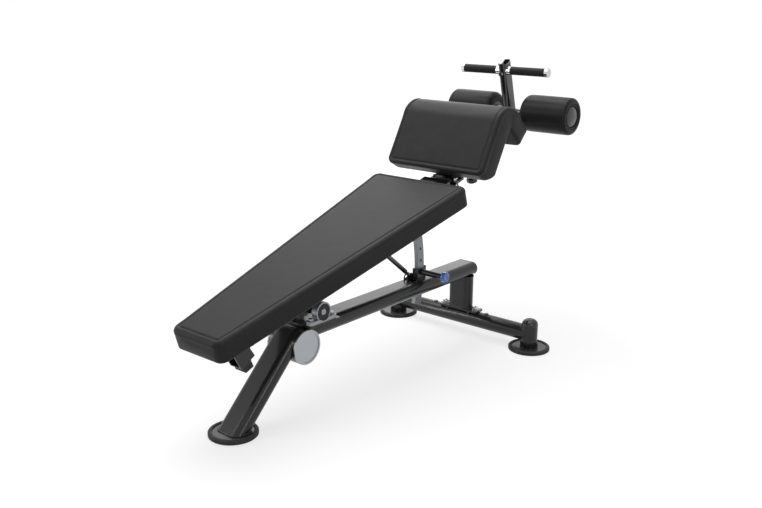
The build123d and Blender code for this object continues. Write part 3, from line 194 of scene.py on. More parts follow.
def relief(tree, shader, layers):
    """Bumps laid one on another, each a pattern, its output and its depth in millimetres."""
    last = None
    for pattern, output, depth_mm in layers:
        bump = add(tree, "ShaderNodeBump", {"Strength": 1.0, "Distance": depth_mm / 1000},
                   [("Height", pattern, output)])
        if last:
            tree.links.new(last.outputs[0], bump.inputs["Normal"])
        last = bump
    tree.links.new(last.outputs[0], shader.inputs["Normal"])


powder_coat, tree, shader = surface("dark grey powder coat", "#313232", 0.34, Specular_IOR_Level=0.1,
                                    Coat_Weight=0.5, Coat_Roughness=0.12)
drift(tree, shader, 60, 0.29, 0.39)
tint(tree, shader, clouds(tree, 0.9, 1.0), "Fac", "#2d2e2e", "#353636")
relief(tree, shader, [(clouds(tree, 3.0, 2.0), "Fac", 0.04)])
dress(powder_coat, "main_beam", "front_leg", "hub_tube", "rear_post", "post_base_plate", "rear_cross_tube",
      "rear_foot_tube_left", "rear_foot_tube_right", "bearing_plate", "strut_sleeve", "gas_bracket",
      "gas_top_bracket", "pad_frame_tube", "pivot_boss", "stop_bracket", "foot_plates")

# Boom, knee bracket and upright: the same tube work, powder coated in gloss black, so its rounded edges
# carry long narrow reflections. The cross bar between the pads lies in their shadow and takes this
# near-black coat as painted shade.
gloss_coat_and_painted_shade, tree, shader = surface("gloss black powder coat and painted shade", "#1e1f20", 0.24, Coat_Weight=0.4,
                                   Coat_Roughness=0.08)
drift(tree, shader, 50, 0.2, 0.3)
relief(tree, shader, [(clouds(tree, 5.0, 2.0), "Fac", 0.12)])
# pad_end_bar, the cross bar, is given this darker coat as painted shade for the pads' shadow.
dress(gloss_coat_and_painted_shade, "outer_boom", "knee_bracket", "inner_boom", "upright_post", "pad_end_bar")

# Weld beads of the floor frame: where the post stands on its plate and meets the beam, where the leg
# stands on the foot disc, round the strut's sleeve, and where the cross tube meets the foot tubes.
# They are of the tube's own steel, under the same powder coat.
SIDES = ((1, "left"), (-1, "right"))
TUBE_CORNER = 24  # mm, corner radius of the flat-oval tube
RIPPLE = 0.0035  # metres from one ripple of a weld to the next
NO_PATH_WAY = [0.0123, 0.0271, 0.9996]  # near upright; no bead runs this way
SMOOTH_BELOW = math.radians(38)


def skin(name, grid):
    """Mesh over a grid of points in metres: each quad joins two neighbours of one row to the same two of
    the next. Points that fall together are joined, so poles and seams close, and the whole is turned
    outwards by the sign of its volume, the sum of each triangle's corner dotted with its cross product."""
    points, index = np.unique(np.round(grid.reshape(-1, 3), 6), axis=0, return_inverse=True)
    index = index.reshape(grid.shape[:2])
    quads = np.stack([index[:-1, :-1], index[:-1, 1:], index[1:, 1:], index[1:, :-1]], axis=-1).reshape(-1, 4)
    same = quads == np.roll(quads, -1, axis=1)
    whole = quads[same.sum(axis=1) == 0]
    pinched = same.sum(axis=1) == 1
    turn = (same[pinched].argmax(axis=1)[:, None] + np.array([1, 2, 3])) % 4
    threes = np.take_along_axis(quads[pinched], turn, axis=1)
    fans = np.concatenate([whole[:, [0, 1, 2]], whole[:, [0, 2, 3]], threes])
    a, b, c = (points[fans[:, k]] for k in range(3))
    if np.einsum("ij,ij->i", a, np.cross(b, c)).sum() < 0:
        whole, threes = whole[:, ::-1], threes[:, ::-1]
    mesh = bpy.data.meshes.new(name)
    mesh.from_pydata(points.tolist(), [], whole.tolist() + threes.tolist())
    mesh.polygons.foreach_set("use_smooth", np.ones(len(mesh.polygons), bool))
    mesh.set_sharp_from_angle(angle=SMOOTH_BELOW)
    return mesh, index


def put(mesh, material, slot, body, *stands_for):
    """Places a finished mesh as a piece: its material, its body and the nodes that it
    stands for. Its slot argument, a record slot's name, is not used."""
    piece = bpy.data.objects.new(mesh.name, mesh)
    bpy.context.scene.collection.objects.link(piece)
    piece.data.materials.append(material)
    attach(piece, body)
    if stands_for:
        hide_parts(*stands_for)
    return piece


def rounded_plan(corners, radii, spacing, arc_points=13):
    """Points and inward directions along a convex polygon with rounded corners, given anticlockwise. Each
    corner is an arc that touches both of its sides, and the straight run to the next is divided evenly."""
    corners = np.array(corners, float)
    into = corners - np.roll(corners, 1, axis=0)
    into /= np.linalg.norm(into, axis=1)[:, None]
    out = np.roll(into, -1, axis=0)
    turns = np.arctan2(into[:, 0] * out[:, 1] - into[:, 1] * out[:, 0], (into * out).sum(axis=1))
    arcs, ways = [], []
    for corner, direction, turn, radius in zip(corners, into, turns, radii):
        left = np.array([-direction[1], direction[0]])
        centre = corner - direction * radius * np.tan(turn / 2) + left * radius
        angle = np.arctan2(-left[1], -left[0]) + turn * np.linspace(0, 1, arc_points)
        ray = np.stack([np.cos(angle), np.sin(angle)], axis=1)
        arcs.append(centre + radius * ray)
        ways.append(-ray)
    points, inward = [], []
    for k in range(len(arcs)):
        start, stop = arcs[k][-1], arcs[(k + 1) % len(arcs)][0]
        parts = max(2, int(np.linalg.norm(stop - start) / spacing))
        share = np.linspace(0, 1, parts + 1)[1:-1, None]
        points += [arcs[k], start + share * (stop - start)]
        inward += [ways[k], np.repeat(ways[k][-1:], len(share), axis=0)]
    return np.concatenate(points), np.concatenate(inward)


def bead(name, path, radius_mm, body):
    """Weld bead along a path of points in metres: a round section carried square to the path, whose radius
    swells by a seventh once for every ripple that the welder's hand leaves. A closed path meets itself,
    and an open one closes to a point at each end."""
    closed = np.allclose(path[0], path[-1])
    step = np.gradient(path, axis=0)
    if closed:
        step[[0, -1]] = path[1] - path[-2]
    step /= np.linalg.norm(step, axis=1)[:, None]
    side = np.cross(step, NO_PATH_WAY)
    side /= np.linalg.norm(side, axis=1)[:, None]
    top = np.cross(side, step)
    run = np.concatenate([[0], np.cumsum(np.linalg.norm(np.diff(path, axis=0), axis=1))])
    ripples = round(run[-1] / RIPPLE)
    radius = radius_mm / 1000 * (0.86 + 0.14 * np.abs(np.sin(np.pi * ripples * run / run[-1])))
    angle = np.append(np.linspace(0, 2 * np.pi, 13)[:-1], 0.0)
    ring = np.cos(angle)[None, :, None] * side[:, None] + np.sin(angle)[None, :, None] * top[:, None]
    grid = path[:, None] + radius[:, None, None] * ring
    if closed:
        grid[-1] = grid[0]
    else:
        grid = np.concatenate([grid[:1] * 0 + path[0], grid, grid[:1] * 0 + path[-1]])
    put(skin(name, grid)[0], powder_coat, "frame_paint", body)


def oval_path(low, high, radius_mm, height, stretch=1.0):
    """Closed level path round a flat-oval tube between two corners, at a height; stretch lengthens it in X,
    as a level cut does to a leaning tube."""
    (x0, y0), (x1, y1) = low, high
    plan, _ = rounded_plan([(x0, y0), (x1, y0), (x1, y1), (x0, y1)], [radius_mm / 1000] * 4, 0.0012)
    middle = (x0 + x1) / 2
    plan = np.concatenate([plan, plan[:1]])
    return np.stack([middle + stretch * (plan[:, 0] - middle), plan[:, 1], np.full(len(plan), height)],
                    axis=1)


post_low, post_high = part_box("rear_post")
tube_deep = post_high.x - post_low.x
bead("weld_post_foot", oval_path(post_low.xy, post_high.xy, TUBE_CORNER, post_low.z + 0.001),
     radius_mm=2.6, body="floor_frame")
bead("weld_post_head", oval_path(post_low.xy, post_high.xy, TUBE_CORNER, post_high.z - 0.0005),
     radius_mm=2.4, body="floor_frame")

# The leg leans at 45 degrees, so a level cut through it is longer than the tube is deep.
leg_low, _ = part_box("front_leg")
LEAN = math.sqrt(2.0)
leg_middle = leg_low.x + tube_deep * LEAN / 2
bead("weld_leg_foot", oval_path((leg_middle - tube_deep / 2, post_low.y),
                                (leg_middle + tube_deep / 2, post_high.y),
                                TUBE_CORNER, leg_low.z + 0.001, LEAN),
     radius_mm=3.0, body="floor_frame")

SLEEVE_CORNER, SLEEVE_SHORT = 3, 0.008  # mm and metres: its foot ends short of its box at the raised end
sleeve_low, sleeve_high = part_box("strut_sleeve")
beam_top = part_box("bearing_plate")[0].z
bead("weld_sleeve", oval_path((sleeve_low.x, -sleeve_high.y), (sleeve_high.x - SLEEVE_SHORT, sleeve_high.y),
                              SLEEVE_CORNER, beam_top + 0.0005),
     radius_mm=2.2, body="floor_frame")

# Saddle of two equal tubes at right angles: the ring of one, drawn back by the other's half width there.
cross_low, cross_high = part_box("rear_cross_tube")
cross_radius = (cross_high.z - cross_low.z) / 2
cross_middle = (cross_high.x + cross_low.x) / 2
foot_low, foot_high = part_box("rear_foot_tube_left")
foot_y = (foot_low.y + foot_high.y) / 2
turn = np.append(np.linspace(0, 2 * np.pi, 161)[:-1], 0.0)
for side, word in SIDES:
    saddle = np.stack([cross_middle + cross_radius * np.sin(turn),
                       side * (foot_y - cross_radius * np.abs(np.cos(turn))),
                       cross_high.z - cross_radius * (1 - np.cos(turn))], axis=1)
    bead(f"weld_cross_{word}", saddle, radius_mm=2.4, body="floor_frame")

# Weld bead of the upright, which stands in the open end of the sliding boom. From here on, pieces of the
# tilted pad frame are placed from its pivot, along the boom and square to it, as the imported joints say.
UPRIGHT_CORNER = 14
joints = {joint["name"]: joint for joint in frame["joints"]}
PIVOT = np.array(joints["pad_tilt"]["pos_m"])
ALONG = np.array(joints["carriage_slide"]["axis"])
UP = np.array([-ALONG[2], 0.0, ALONG[0]])
ACROSS = np.array([0.0, 1.0, 0.0])


def tilted(along, across, up):
    """Points of the tilted frame, in mm off the pivot, as row coordinates in metres: the pivot plus each
    measure times its direction."""
    along, across, up = np.broadcast_arrays(along, across, up)
    return PIVOT + (along[..., None] * ALONG + across[..., None] * ACROSS + up[..., None] * UP) / 1000


def tilted_box(name):
    """Lowest and highest (along, across, up) of a CAD node, in mm off the pivot: the least and the greatest
    of its corners' measures along the three directions."""
    mesh = frame["nodes"][name].data
    points = np.empty(3 * len(mesh.vertices))
    mesh.vertices.foreach_get("co", points)
    points = points.reshape(-1, 3) - PIVOT
    measures = 1000 * np.stack([points @ ALONG, points @ ACROSS, points @ UP], axis=1)
    return measures.min(axis=0), measures.max(axis=0)


upright_low, upright_high = tilted_box("upright_post")
boom_top = tilted_box("inner_boom")[1][2]
plan, _ = rounded_plan([(upright_low[0], upright_low[1]), (upright_high[0], upright_low[1]),
                        (upright_high[0], upright_high[1]), (upright_low[0], upright_high[1])],
                       [UPRIGHT_CORNER] * 4, 1.2)
plan = np.concatenate([plan, plan[:1]])
bead("weld_upright", tilted(plan[:, 0], plan[:, 1], boom_top + 0.5), radius_mm=2.2, body="carriage")

# Hub caps: pressed aluminium discs with a rolled rim, pushed into the ends of the hub and finished in
# satin silver lacquer. Even and pale, with a grain in the lacquer that is hardly seen.
silver, tree, shader = surface("satin silver aluminium", "#b2b6bc", 0.36, 0.75)
drift(tree, shader, 30, 0.32, 0.42)
relief(tree, shader, [(clouds(tree, 1.4, 1.0), "Fac", 0.02)])
dress(silver, "hub_cap_left", "hub_cap_right")

# Pivot bearings: pillow blocks cast in iron and painted silver, bolted to a plate on the beam. Sand-cast
# skin shows as a fine lumpiness about 2 mm across.
cast_iron, tree, shader = surface("silver painted cast iron", "#a2a6ab", 0.42, 0.55)
drift(tree, shader, 12, 0.36, 0.5)
relief(tree, shader, [(clouds(tree, 2.2, 3.0), "Fac", 0.25)])
dress(cast_iron, "bearing_housing_left", "bearing_housing_right")

# Bearing races, shaft, pins, rod and bolts: steel, turned or ground bright and left bare. The turning
# marks are too fine to draw, so they show as small patches of duller and brighter shine.
turned_steel, tree, shader = surface("ground steel", "#8b8d90", 0.28, 1.0)
drift(tree, shader, 4, 0.22, 0.36)
dress(turned_steel, "bearing_inserts", "bearing_bolts", "pivot_shaft", "pull_pin", "knee_pull_pin", "gas_rod",
      "pad_bolts", "roller_axle")

# Plugs, domes and boots: polypropylene, moulded and pushed on or into the ends of the tubes. A fine
# spark-eroded grain lightly breaks up the shine.
black_plastic, tree, shader = surface("moulded black polypropylene", "#1b1b1c", 0.25, IOR=1.49)
drift(tree, shader, 25, 0.21, 0.29)
relief(tree, shader, [(clouds(tree, 0.8, 1.0), "Fac", 0.012)])
dress(black_plastic, "beam_end_plug", "pad_tube_plugs", "tube_caps")

# Stop block and feet: moulded rubber, the block fixed to its bracket and the feet stretched over their
# discs. Dull, with dust-grey bloom in patches about 22 mm across.
rubber, tree, shader = surface("moulded black rubber", "#1b1b1b", 0.72, IOR=1.52)
drift(tree, shader, 18, 0.62, 0.8)
tint(tree, shader, clouds(tree, 22), "Fac", "#171717", "#242424")
relief(tree, shader, [(clouds(tree, 1.1, 2.0), "Fac", 0.06)])
dress(rubber, "rubber_bumper")

# Round feet: rubber cups stretched over steel discs, with two grooves round the rim and a lip on top
# that grips the disc.
VERTICAL, LEVEL = np.array([0.0, 0.0, 1.0]), np.array([1.0, 0.0, 0.0])
FLUTE_FADE = 1.5  # mm over which flutes and lobes run out at the ends of their band


def eased(points, passes=2):
    """Polyline with its corners cut: each pass puts points at a quarter and three quarters of every run and
    keeps the two ends."""
    points = np.array(points, float)
    for _ in range(passes):
        quarter = 0.75 * points[:-1] + 0.25 * points[1:]
        later = 0.25 * points[:-1] + 0.75 * points[1:]
        points = np.concatenate([points[:1], np.stack([quarter, later], axis=1).reshape(-1, 2), points[-1:]])
    return points


def turned(name, profile, centre, axis, side, count, flutes=0, depth=0.0, band=(0.0, 0.0)):
    """Solid of revolution: a profile of (along, radius) in mm carried round an axis through a centre. Inside
    the band of distances along it, flutes draw the radius in by depth times a squared sine of the angle."""
    along, radius = np.array(profile, float).T
    angle = np.append(np.linspace(0, 2 * np.pi, count + 1)[:-1], 0.0)
    other = np.cross(axis, side)
    ring = np.cos(angle)[:, None] * side + np.sin(angle)[:, None] * other
    inside = np.clip(np.minimum(along - band[0], band[1] - along), 0, FLUTE_FADE) / FLUTE_FADE
    pressed = inside[:, None] * depth * np.sin(flutes * angle / 2)[None] ** 2
    reach = radius[:, None] - pressed * (radius > 1)[:, None]
    grid = centre + along[:, None, None] / 1000 * axis + reach[..., None] / 1000 * ring[None]
    return skin(name, grid)[0]


foot_rim = eased([(0, 0), (0, 73), (1.5, 76.4), (3.6, 77), (4.6, 75.6), (5.6, 77), (8.2, 77), (9.2, 75.6),
                  (10.2, 77), (12.6, 76.7), (15.0, 73.6), (15.5, 70), (15.3, 66), (14.4, 64.1), (12.0, 64),
                  (12.0, 66.0), (5.0, 66.0), (5.0, 0)], passes=1)
for word in ("front", "left", "right"):
    low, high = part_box(f"foot_rubber_{word}")
    centre = np.array([(low.x + high.x) / 2, (low.y + high.y) / 2, low.z])
    put(turned(f"foot_cup_{word}", foot_rim, centre, VERTICAL, LEVEL, count=128), rubber, "black_rubber",
        "floor_frame", f"foot_rubber_{word}")

# Bearing seals: pressed shields faced with rubber, clipped into each housing round the shaft's end, with
# concentric ridges. One node of the CAD holds both, so the left one stands for it.
seal_face = eased([(9.0, 11.5), (11.2, 11.5), (11.8, 12.6), (11.2, 14.0), (11.2, 15.2), (11.9, 16.6),
                   (11.9, 18.2), (11.1, 19.4), (11.1, 20.8), (11.9, 22.0), (11.9, 24.2), (11.0, 25.6),
                   (10.6, 27.4), (9.0, 27.4), (9.0, 11.5)])
bearing_low, bearing_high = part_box("bearing_housing_left")
bearing_y = (bearing_low.y + bearing_high.y) / 2
for side, word in SIDES:
    seal = turned(f"bearing_seal_{word}", seal_face, PIVOT + side * bearing_y * ACROSS, side * ACROSS, LEVEL,
                  count=96)
    pieces = ("bearing_seals",) if side > 0 else ()
    put(seal, rubber, "black_rubber", "floor_frame", *pieces)

# Curved strut: flat steel bar bent on an arc under the pad frame, drilled for the pull pin, zinc plated
# and passivated. Bluish grey, and cloudy in patches about 14 mm across.
zinc, tree, shader = surface("zinc plated steel", "#8b8f93", 0.40, 0.6)
drift(tree, shader, 9, 0.34, 0.48)
tint(tree, shader, clouds(tree, 14), "Fac", "#7d8185", "#8d9195")
dress(zinc, "curved_strut")

# Pull knob: gloss blue nylon, moulded with ten shallow finger flutes and a dished face, and pushed on the
# pull pin. Smooth and bright, with a faint waviness about 3 mm across.
blue_nylon, tree, shader = surface("moulded blue nylon", "#4f96ff", 0.2, IOR=1.53, Coat_Weight=0.3,
                                   Coat_Roughness=0.08)
relief(tree, shader, [(clouds(tree, 3.0, 1.0), "Fac", 0.03)])
knob_low, knob_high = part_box("pull_knob")
knob_centre = np.array([(knob_low.x + knob_high.x) / 2, knob_high.y, (knob_low.z + knob_high.z) / 2])
knob_side = eased([(0, 5.2), (0, 14.5), (1.6, 17.8), (4.5, 19), (14.5, 19), (17.6, 17.6), (19, 14.2),
                   (18.6, 10), (17.9, 5)])
knob_side = np.concatenate([[(9.0, 0), (9.0, 5.2)], knob_side, [(17.8, 0)]])
put(turned("blue_knob", knob_side, knob_centre, -ACROSS, LEVEL, count=120, flutes=10, depth=0.9,
           band=(3.0, 16.0)),
    blue_nylon, "blue_plastic", "tilt_pin", "pull_knob")

# Gas spring: steel tube round a ground rod, in gloss black stove enamel. The enamel is smooth and
# glassy, so reflections on it stay clear.
enamel, tree, shader = surface("gloss black enamel", "#161617", 0.16, Coat_Weight=0.6, Coat_Roughness=0.06)
drift(tree, shader, 40, 0.12, 0.22)
dress(enamel, "gas_cylinder")

# Acorn nuts, handle tube and its collars, caps and set bolt: steel under polished chrome plate. They
# mirror the room, with wipe marks that are hardly seen.
chrome, tree, shader = surface("polished chrome plate", "#c4c6ca", 0.10, 1.0)
drift(tree, shader, 6, 0.07, 0.15)
dress(chrome, "base_bolts", "boom_bolts", "handle_trim", "handle_bar")

# Boards under the pads: birch plywood wrapped in the pad's own backing cloth, a coarse plain weave with
# threads 1.2 mm apart, drawn 4.7 mm apart so that it shows: bands stand 2 pi / 20 / scale metres apart.
# Woven, so dull, with a faint sheen.
WEAVE_SCALE = 1000 / 2.4 / math.pi / 2
backing, tree, shader = surface("black backing cloth", "#464647", 0.82, Sheen_Weight=0.25,
                                Sheen_Roughness=0.5)
place = add(tree, "ShaderNodeTexCoord")
warp, weft = (add(tree, "ShaderNodeTexWave", {"Scale": WEAVE_SCALE, "Distortion": 0.6},
                  [("Vector", place, "Object")], bands_direction=way) for way in ("X", "Y"))
relief(tree, shader, [(warp, "Fac", 0.12), (weft, "Fac", 0.12)])
tint(tree, shader, clouds(tree, 30), "Fac", "#404041", "#4d4d4e")
dress(backing, "pad_board", "knee_board")

# Main pad: a tapering foam pad on its board, covered in black vinyl-coated cloth drawn tight and stapled
# under the board. A crease and a rolled edge run round the face. The vinyl's pressed leather grain has
# cells about 1.6 mm across, drawn at 2.6 mm so that they show.
HEAD_HALF = 104.9  # mm, half the width at the head end
PAD_CORNER = 30.0
HEAD_SPINE, FOOT_SPINE = 95, 190  # mm from each end of the pad to the end of its face's middle line
FACE_ROWS = 24
SWELL_FRAMES = 20
vinyl, tree, shader = surface("black grained vinyl", "#3b3b3b", 0.38, IOR=1.48, Specular_IOR_Level=0.10)
place = add(tree, "ShaderNodeTexCoord")
cells = add(tree, "ShaderNodeTexVoronoi", {"Scale": 1000 / 2.6, "Randomness": 1.0},
            [("Vector", place, "Object")], feature="SMOOTH_F1")
drift(tree, shader, 90, 0.35, 0.41)
tint(tree, shader, clouds(tree, 45), "Fac", "#373737", "#404040")
relief(tree, shader, [(clouds(tree, 26, 2.0), "Fac", 0.35), (cells, "Distance", 0.10),
                      (clouds(tree, 0.9, 1.0), "Fac", 0.03)])


def edge_section(corner, top_radius, groove, width, low_radius, bulge_mm=2.2, crease_mm=3.4):
    """Edge of an upholstered pad, from the flat face over the rolled edge to its underside, as rows of
    (inset from the outline, share of the pad's thickness, mm to add to that share). A quarter circle joins
    face and side; a crease, a bell curve, is pressed in along the seam, and the roll bulges by a half sine.
    The rows start just outside the centre of the plan's corner radius, so that they never cross."""
    arc = top_radius * np.pi / 2
    lead = corner - top_radius - 0.5
    way = np.concatenate([-np.linspace(lead, 0.8, 14), np.linspace(0, 1, 23) * arc])
    angle = np.clip(way, 0, arc) / top_radius
    inset = top_radius * (1 - np.sin(angle)) + np.clip(-way, 0, None)
    depth = top_radius * (1 - np.cos(angle))
    bulge = bulge_mm * np.sin(np.pi * np.clip(way / arc, 0, 1))
    crease = crease_mm * np.exp(-((way + groove - top_radius) / width) ** 2)
    proud = bulge - crease
    inset = inset - proud * np.sin(angle)
    depth = depth - proud * np.cos(angle)
    top = np.stack([inset, np.ones(len(way)), -depth], axis=1)
    share = np.linspace(0, 1, 12)[1:-1]
    side = np.stack([0 * share, 1 - share, -top_radius * (1 - share) + low_radius * share], axis=1)
    bend = np.linspace(0, np.pi / 2, 9)
    low = np.stack([low_radius * (1 - np.cos(bend)), 0 * bend, low_radius * (1 - np.sin(bend))], axis=1)
    return np.concatenate([top, side, low])


def upholstered(outline, inward, spine, section, pocket_inset, pocket_deep, place):
    """Closed pad over a plan outline: rows run from the spine of the face out to the edge, through the edge
    section, under it to the board's pocket, up its wall and back to the spine. Each row is the outline moved
    inwards, or a blend of it with the spine. Place maps (plan, share, mm) to points. Returns the grid."""
    def row(inset, share, rise, step=0):
        edge = outline + inset * inward
        return place(edge + (spine - edge) * step, share, rise)

    first, last = section[0, 0], section[-1, 0]
    steps = np.linspace(1, 0, FACE_ROWS + 1)[:-1] ** 0.9
    rows = [row(first, 1.0, 0.0, step) for step in steps]
    rows += [row(*line) for line in section]
    rows += [row(inset, 0.0, 0.0) for inset in np.linspace(last, pocket_inset, 4)[1:]]
    rows += [row(pocket_inset, 0.0, rise) for rise in np.linspace(0, pocket_deep, 4)[1:]]
    rows += [row(pocket_inset, 0.0, pocket_deep, step) for step in np.linspace(0, 1, 9)[1:]]
    grid = np.stack(rows)
    return np.concatenate([grid, grid[:, :1]], axis=1)


def swell(grid, keep, held, cap_mm):
    """How far tight foam fills its cover: cloth over the kept rows, blown up by air pressure without gravity
    for 20 frames with the held rows pinned, each point's move capped, and then spread over all rows by
    linear interpolation. Returns the moves."""
    mesh, index = skin("swelling", grid[keep])
    piece = bpy.data.objects.new("swelling", mesh)
    bpy.context.scene.collection.objects.link(piece)
    pins = piece.vertex_groups.new(name="held")
    pins.add(np.unique(index[np.isin(keep, held)]).tolist(), 1.0, "REPLACE")
    start, end = np.empty(3 * len(mesh.vertices)), np.empty(3 * len(mesh.vertices))
    mesh.vertices.foreach_get("co", start)
    cloth = piece.modifiers.new("cloth", "CLOTH")
    cloth.settings.quality = 5
    cloth.settings.mass = 0.4
    cloth.settings.tension_stiffness = cloth.settings.compression_stiffness = 25
    cloth.settings.shear_stiffness = 15
    cloth.settings.bending_stiffness = 2
    cloth.settings.use_pressure = True
    cloth.settings.uniform_pressure_force = 4.0
    cloth.settings.effector_weights.gravity = 0
    cloth.settings.vertex_group_mass = "held"
    cloth.point_cache.frame_end = SWELL_FRAMES
    for moment in range(1, SWELL_FRAMES + 1):
        bpy.context.scene.frame_set(moment)
    blown = piece.evaluated_get(bpy.context.evaluated_depsgraph_get()).data
    blown.vertices.foreach_get("co", end)
    bpy.context.scene.frame_set(1)
    move = end.reshape(-1, 3) - start.reshape(-1, 3)
    length = np.linalg.norm(move, axis=1, keepdims=True)
    move *= np.minimum(1, cap_mm / 1000 / np.maximum(length, 1e-9))
    bpy.data.objects.remove(piece)
    bpy.data.meshes.remove(mesh)
    moves = move[index]
    rows = np.arange(len(grid))
    after = np.clip(np.searchsorted(keep, rows, side="right"), 1, len(keep) - 1)
    first, last = keep[after - 1], keep[after]
    weight = ((rows - first) / (last - first))[:, None, None]
    return moves[after - 1] * (1 - weight) + moves[after] * weight


def cushion(name, grid, section_rows, body, node, cap_mm):
    """Swells a pad's grid, makes its mesh and puts it in place of its CAD node. The cloth takes every second
    row of the face, every fourth of the edge and every third below it, and is held from the edge's last
    two rows on."""
    edge_end = FACE_ROWS + section_rows
    keep = np.unique(np.concatenate([np.arange(0, FACE_ROWS, 2), np.arange(FACE_ROWS, edge_end, 4),
                                     [edge_end - 1], np.arange(edge_end, len(grid), 3), [len(grid) - 1]]))
    held = np.arange(edge_end - 2, len(grid))
    grid = grid + swell(grid, keep, held, cap_mm)
    piece = put(skin(name, grid)[0], vinyl, "black_vinyl", body, node)


pad_low, pad_high = tilted_box("main_pad")
foot_half = pad_high[1]
pad_deep = pad_high[2] - pad_low[2]


def flat_place(plan, share, rise):
    """Plan points at a share of the pad's thickness plus a rise, above the pad's underside."""
    return tilted(plan[:, 0], plan[:, 1], np.array(pad_low[2] + share * pad_deep + rise))


outline, inward = rounded_plan([(pad_low[0], -HEAD_HALF), (pad_high[0], -foot_half),
                                (pad_high[0], foot_half), (pad_low[0], HEAD_HALF)], [PAD_CORNER] * 4, 7.5)
spine = np.stack([np.clip(outline[:, 0], pad_low[0] + HEAD_SPINE, pad_high[0] - FOOT_SPINE),
                  0 * outline[:, 1]], axis=1)
pad_edge = edge_section(PAD_CORNER, top_radius=19.0, groove=21.0, width=4.0, low_radius=8.0)
pad_grid = upholstered(outline, inward, spine, pad_edge, pocket_inset=12.0, pocket_deep=15.0,
                       place=flat_place)
cushion("back_cushion", pad_grid, len(pad_edge), "pad_frame", "main_pad", cap_mm=1.4)

# Knee pad: the same build, bent over an angled board. Its face runs up the front slope, over a crown
# arc and down the back; every depth is a share of the way from the board to that face. Lengths are in mm
# along the boom and up from it, off the pivot.
APEX = np.array([934.0, 255.7])
FRONT_FALL, BACK_FALL = math.radians(45.0), math.radians(61.4)
FRONT_THICK, BACK_THICK = 91.9, 72.0
FRONT_LONG, BACK_LONG = 216.0, 106.0
CROWN, LIP = 85.0, 45.0  # radii of the crown and of the front lip's lower corner
KNEE_CORNER = 26.0
KNEE_SPINE = 200  # mm from each side of the pad to the end of its face's middle line
front_run = np.array([-math.cos(FRONT_FALL), -math.sin(FRONT_FALL)])
front_out = np.array([-math.sin(FRONT_FALL), math.cos(FRONT_FALL)])
back_run = np.array([math.cos(BACK_FALL), -math.sin(BACK_FALL)])
back_out = np.array([math.sin(BACK_FALL), math.cos(BACK_FALL)])
ridge = APEX + np.linalg.solve(np.stack([front_out, back_out]), [FRONT_THICK, BACK_THICK])
crown_cut = CROWN * math.tan((FRONT_FALL + BACK_FALL) / 2)
crown_centre = ridge + crown_cut * front_run - CROWN * front_out
front_end = APEX + FRONT_LONG * front_run + FRONT_THICK * front_out
crown_start = np.linalg.norm(ridge + crown_cut * front_run - front_end)
crown_end = crown_start + CROWN * (FRONT_FALL + BACK_FALL)
back_end = APEX + BACK_LONG * back_run + BACK_THICK * back_out
face_long = crown_end + np.linalg.norm(back_end - (ridge + crown_cut * back_run))
knee_half = tilted_box("knee_pad")[1][1]


def bent_place(plan, share, rise):
    """Plan (distance along the face, across) bent over the board. The face point lies on the front line, the
    crown arc or the back line; the board point is its foot on the nearer slope, or the apex; a share of the
    way from board to face plus a rise in mm gives the point. The front lip's lower corner is drawn in."""
    shrink = np.clip(1 - plan[:, 0] / (1.3 * LIP), 0, 1)
    far = np.clip(plan[:, 0], 0, None)
    angle = np.clip((far - crown_start) / CROWN, 0, FRONT_FALL + BACK_FALL)
    before = np.minimum(far, crown_start)[:, None]
    beyond = np.clip(far - crown_end, 0, None)[:, None]
    ray = np.cos(angle)[:, None] * front_out - np.sin(angle)[:, None] * front_run
    arc = crown_centre + CROWN * ray
    face = np.where((far < crown_start)[:, None], front_end - before * front_run, arc) + beyond * back_run
    down_front = np.clip((face - APEX) @ front_run, 0, None)[:, None]
    down_back = np.clip((face - APEX) @ back_run, 0, None)[:, None]
    foot = APEX + down_front * front_run + down_back * back_run
    thick = np.linalg.norm(face - foot, axis=1)
    height = share * thick + rise
    corner = LIP - np.sqrt(np.clip(LIP ** 2 - np.clip(LIP - height, 0, None) ** 2, 0, None))
    point = foot + (height / thick)[:, None] * (face - foot) - (corner * shrink)[:, None] * front_run
    return tilted(point[:, 0], plan[:, 1], point[:, 1])


outline, inward = rounded_plan([(0, -knee_half), (face_long, -knee_half), (face_long, knee_half),
                                (0, knee_half)], [KNEE_CORNER] * 4, 7.0)
spine = np.stack([0 * outline[:, 0] + face_long * 0.5,
                  np.clip(outline[:, 1], -knee_half + KNEE_SPINE, knee_half - KNEE_SPINE)], axis=1)
knee_edge = edge_section(KNEE_CORNER, top_radius=16.0, groove=18.0, width=4.2, low_radius=10.0)
knee_grid = upholstered(outline, inward, spine, knee_edge, pocket_inset=14.0, pocket_deep=12.0,
                        place=bent_place)
cushion("knee_cushion", knee_grid, len(knee_edge), "pad_frame", "knee_pad", cap_mm=0.9)

# Knee-pad pull knob: moulded black plastic with eight round lobes, pushed on the lower end of the sprung
# pin that locks the sliding boom.
pin_low, pin_high = tilted_box("knee_knob")
knob_centre = tilted((pin_low[0] + pin_high[0]) / 2, 0.0, pin_high[2])
lobed = eased([(0, 5.2), (0, 13), (2.5, 19.5), (6, 22), (15, 22), (20, 19.5), (22.5, 13), (22.7, 5)])
lobed = np.concatenate([[(9.0, 0), (9.0, 5.2)], lobed, [(22.7, 0)]])
put(turned("lobed_knob", lobed, knob_centre, -UP, ACROSS, count=120, flutes=8, depth=2.2, band=(3.0, 19.0)),
    black_plastic, "black_plastic", "length_pin", "knee_knob")

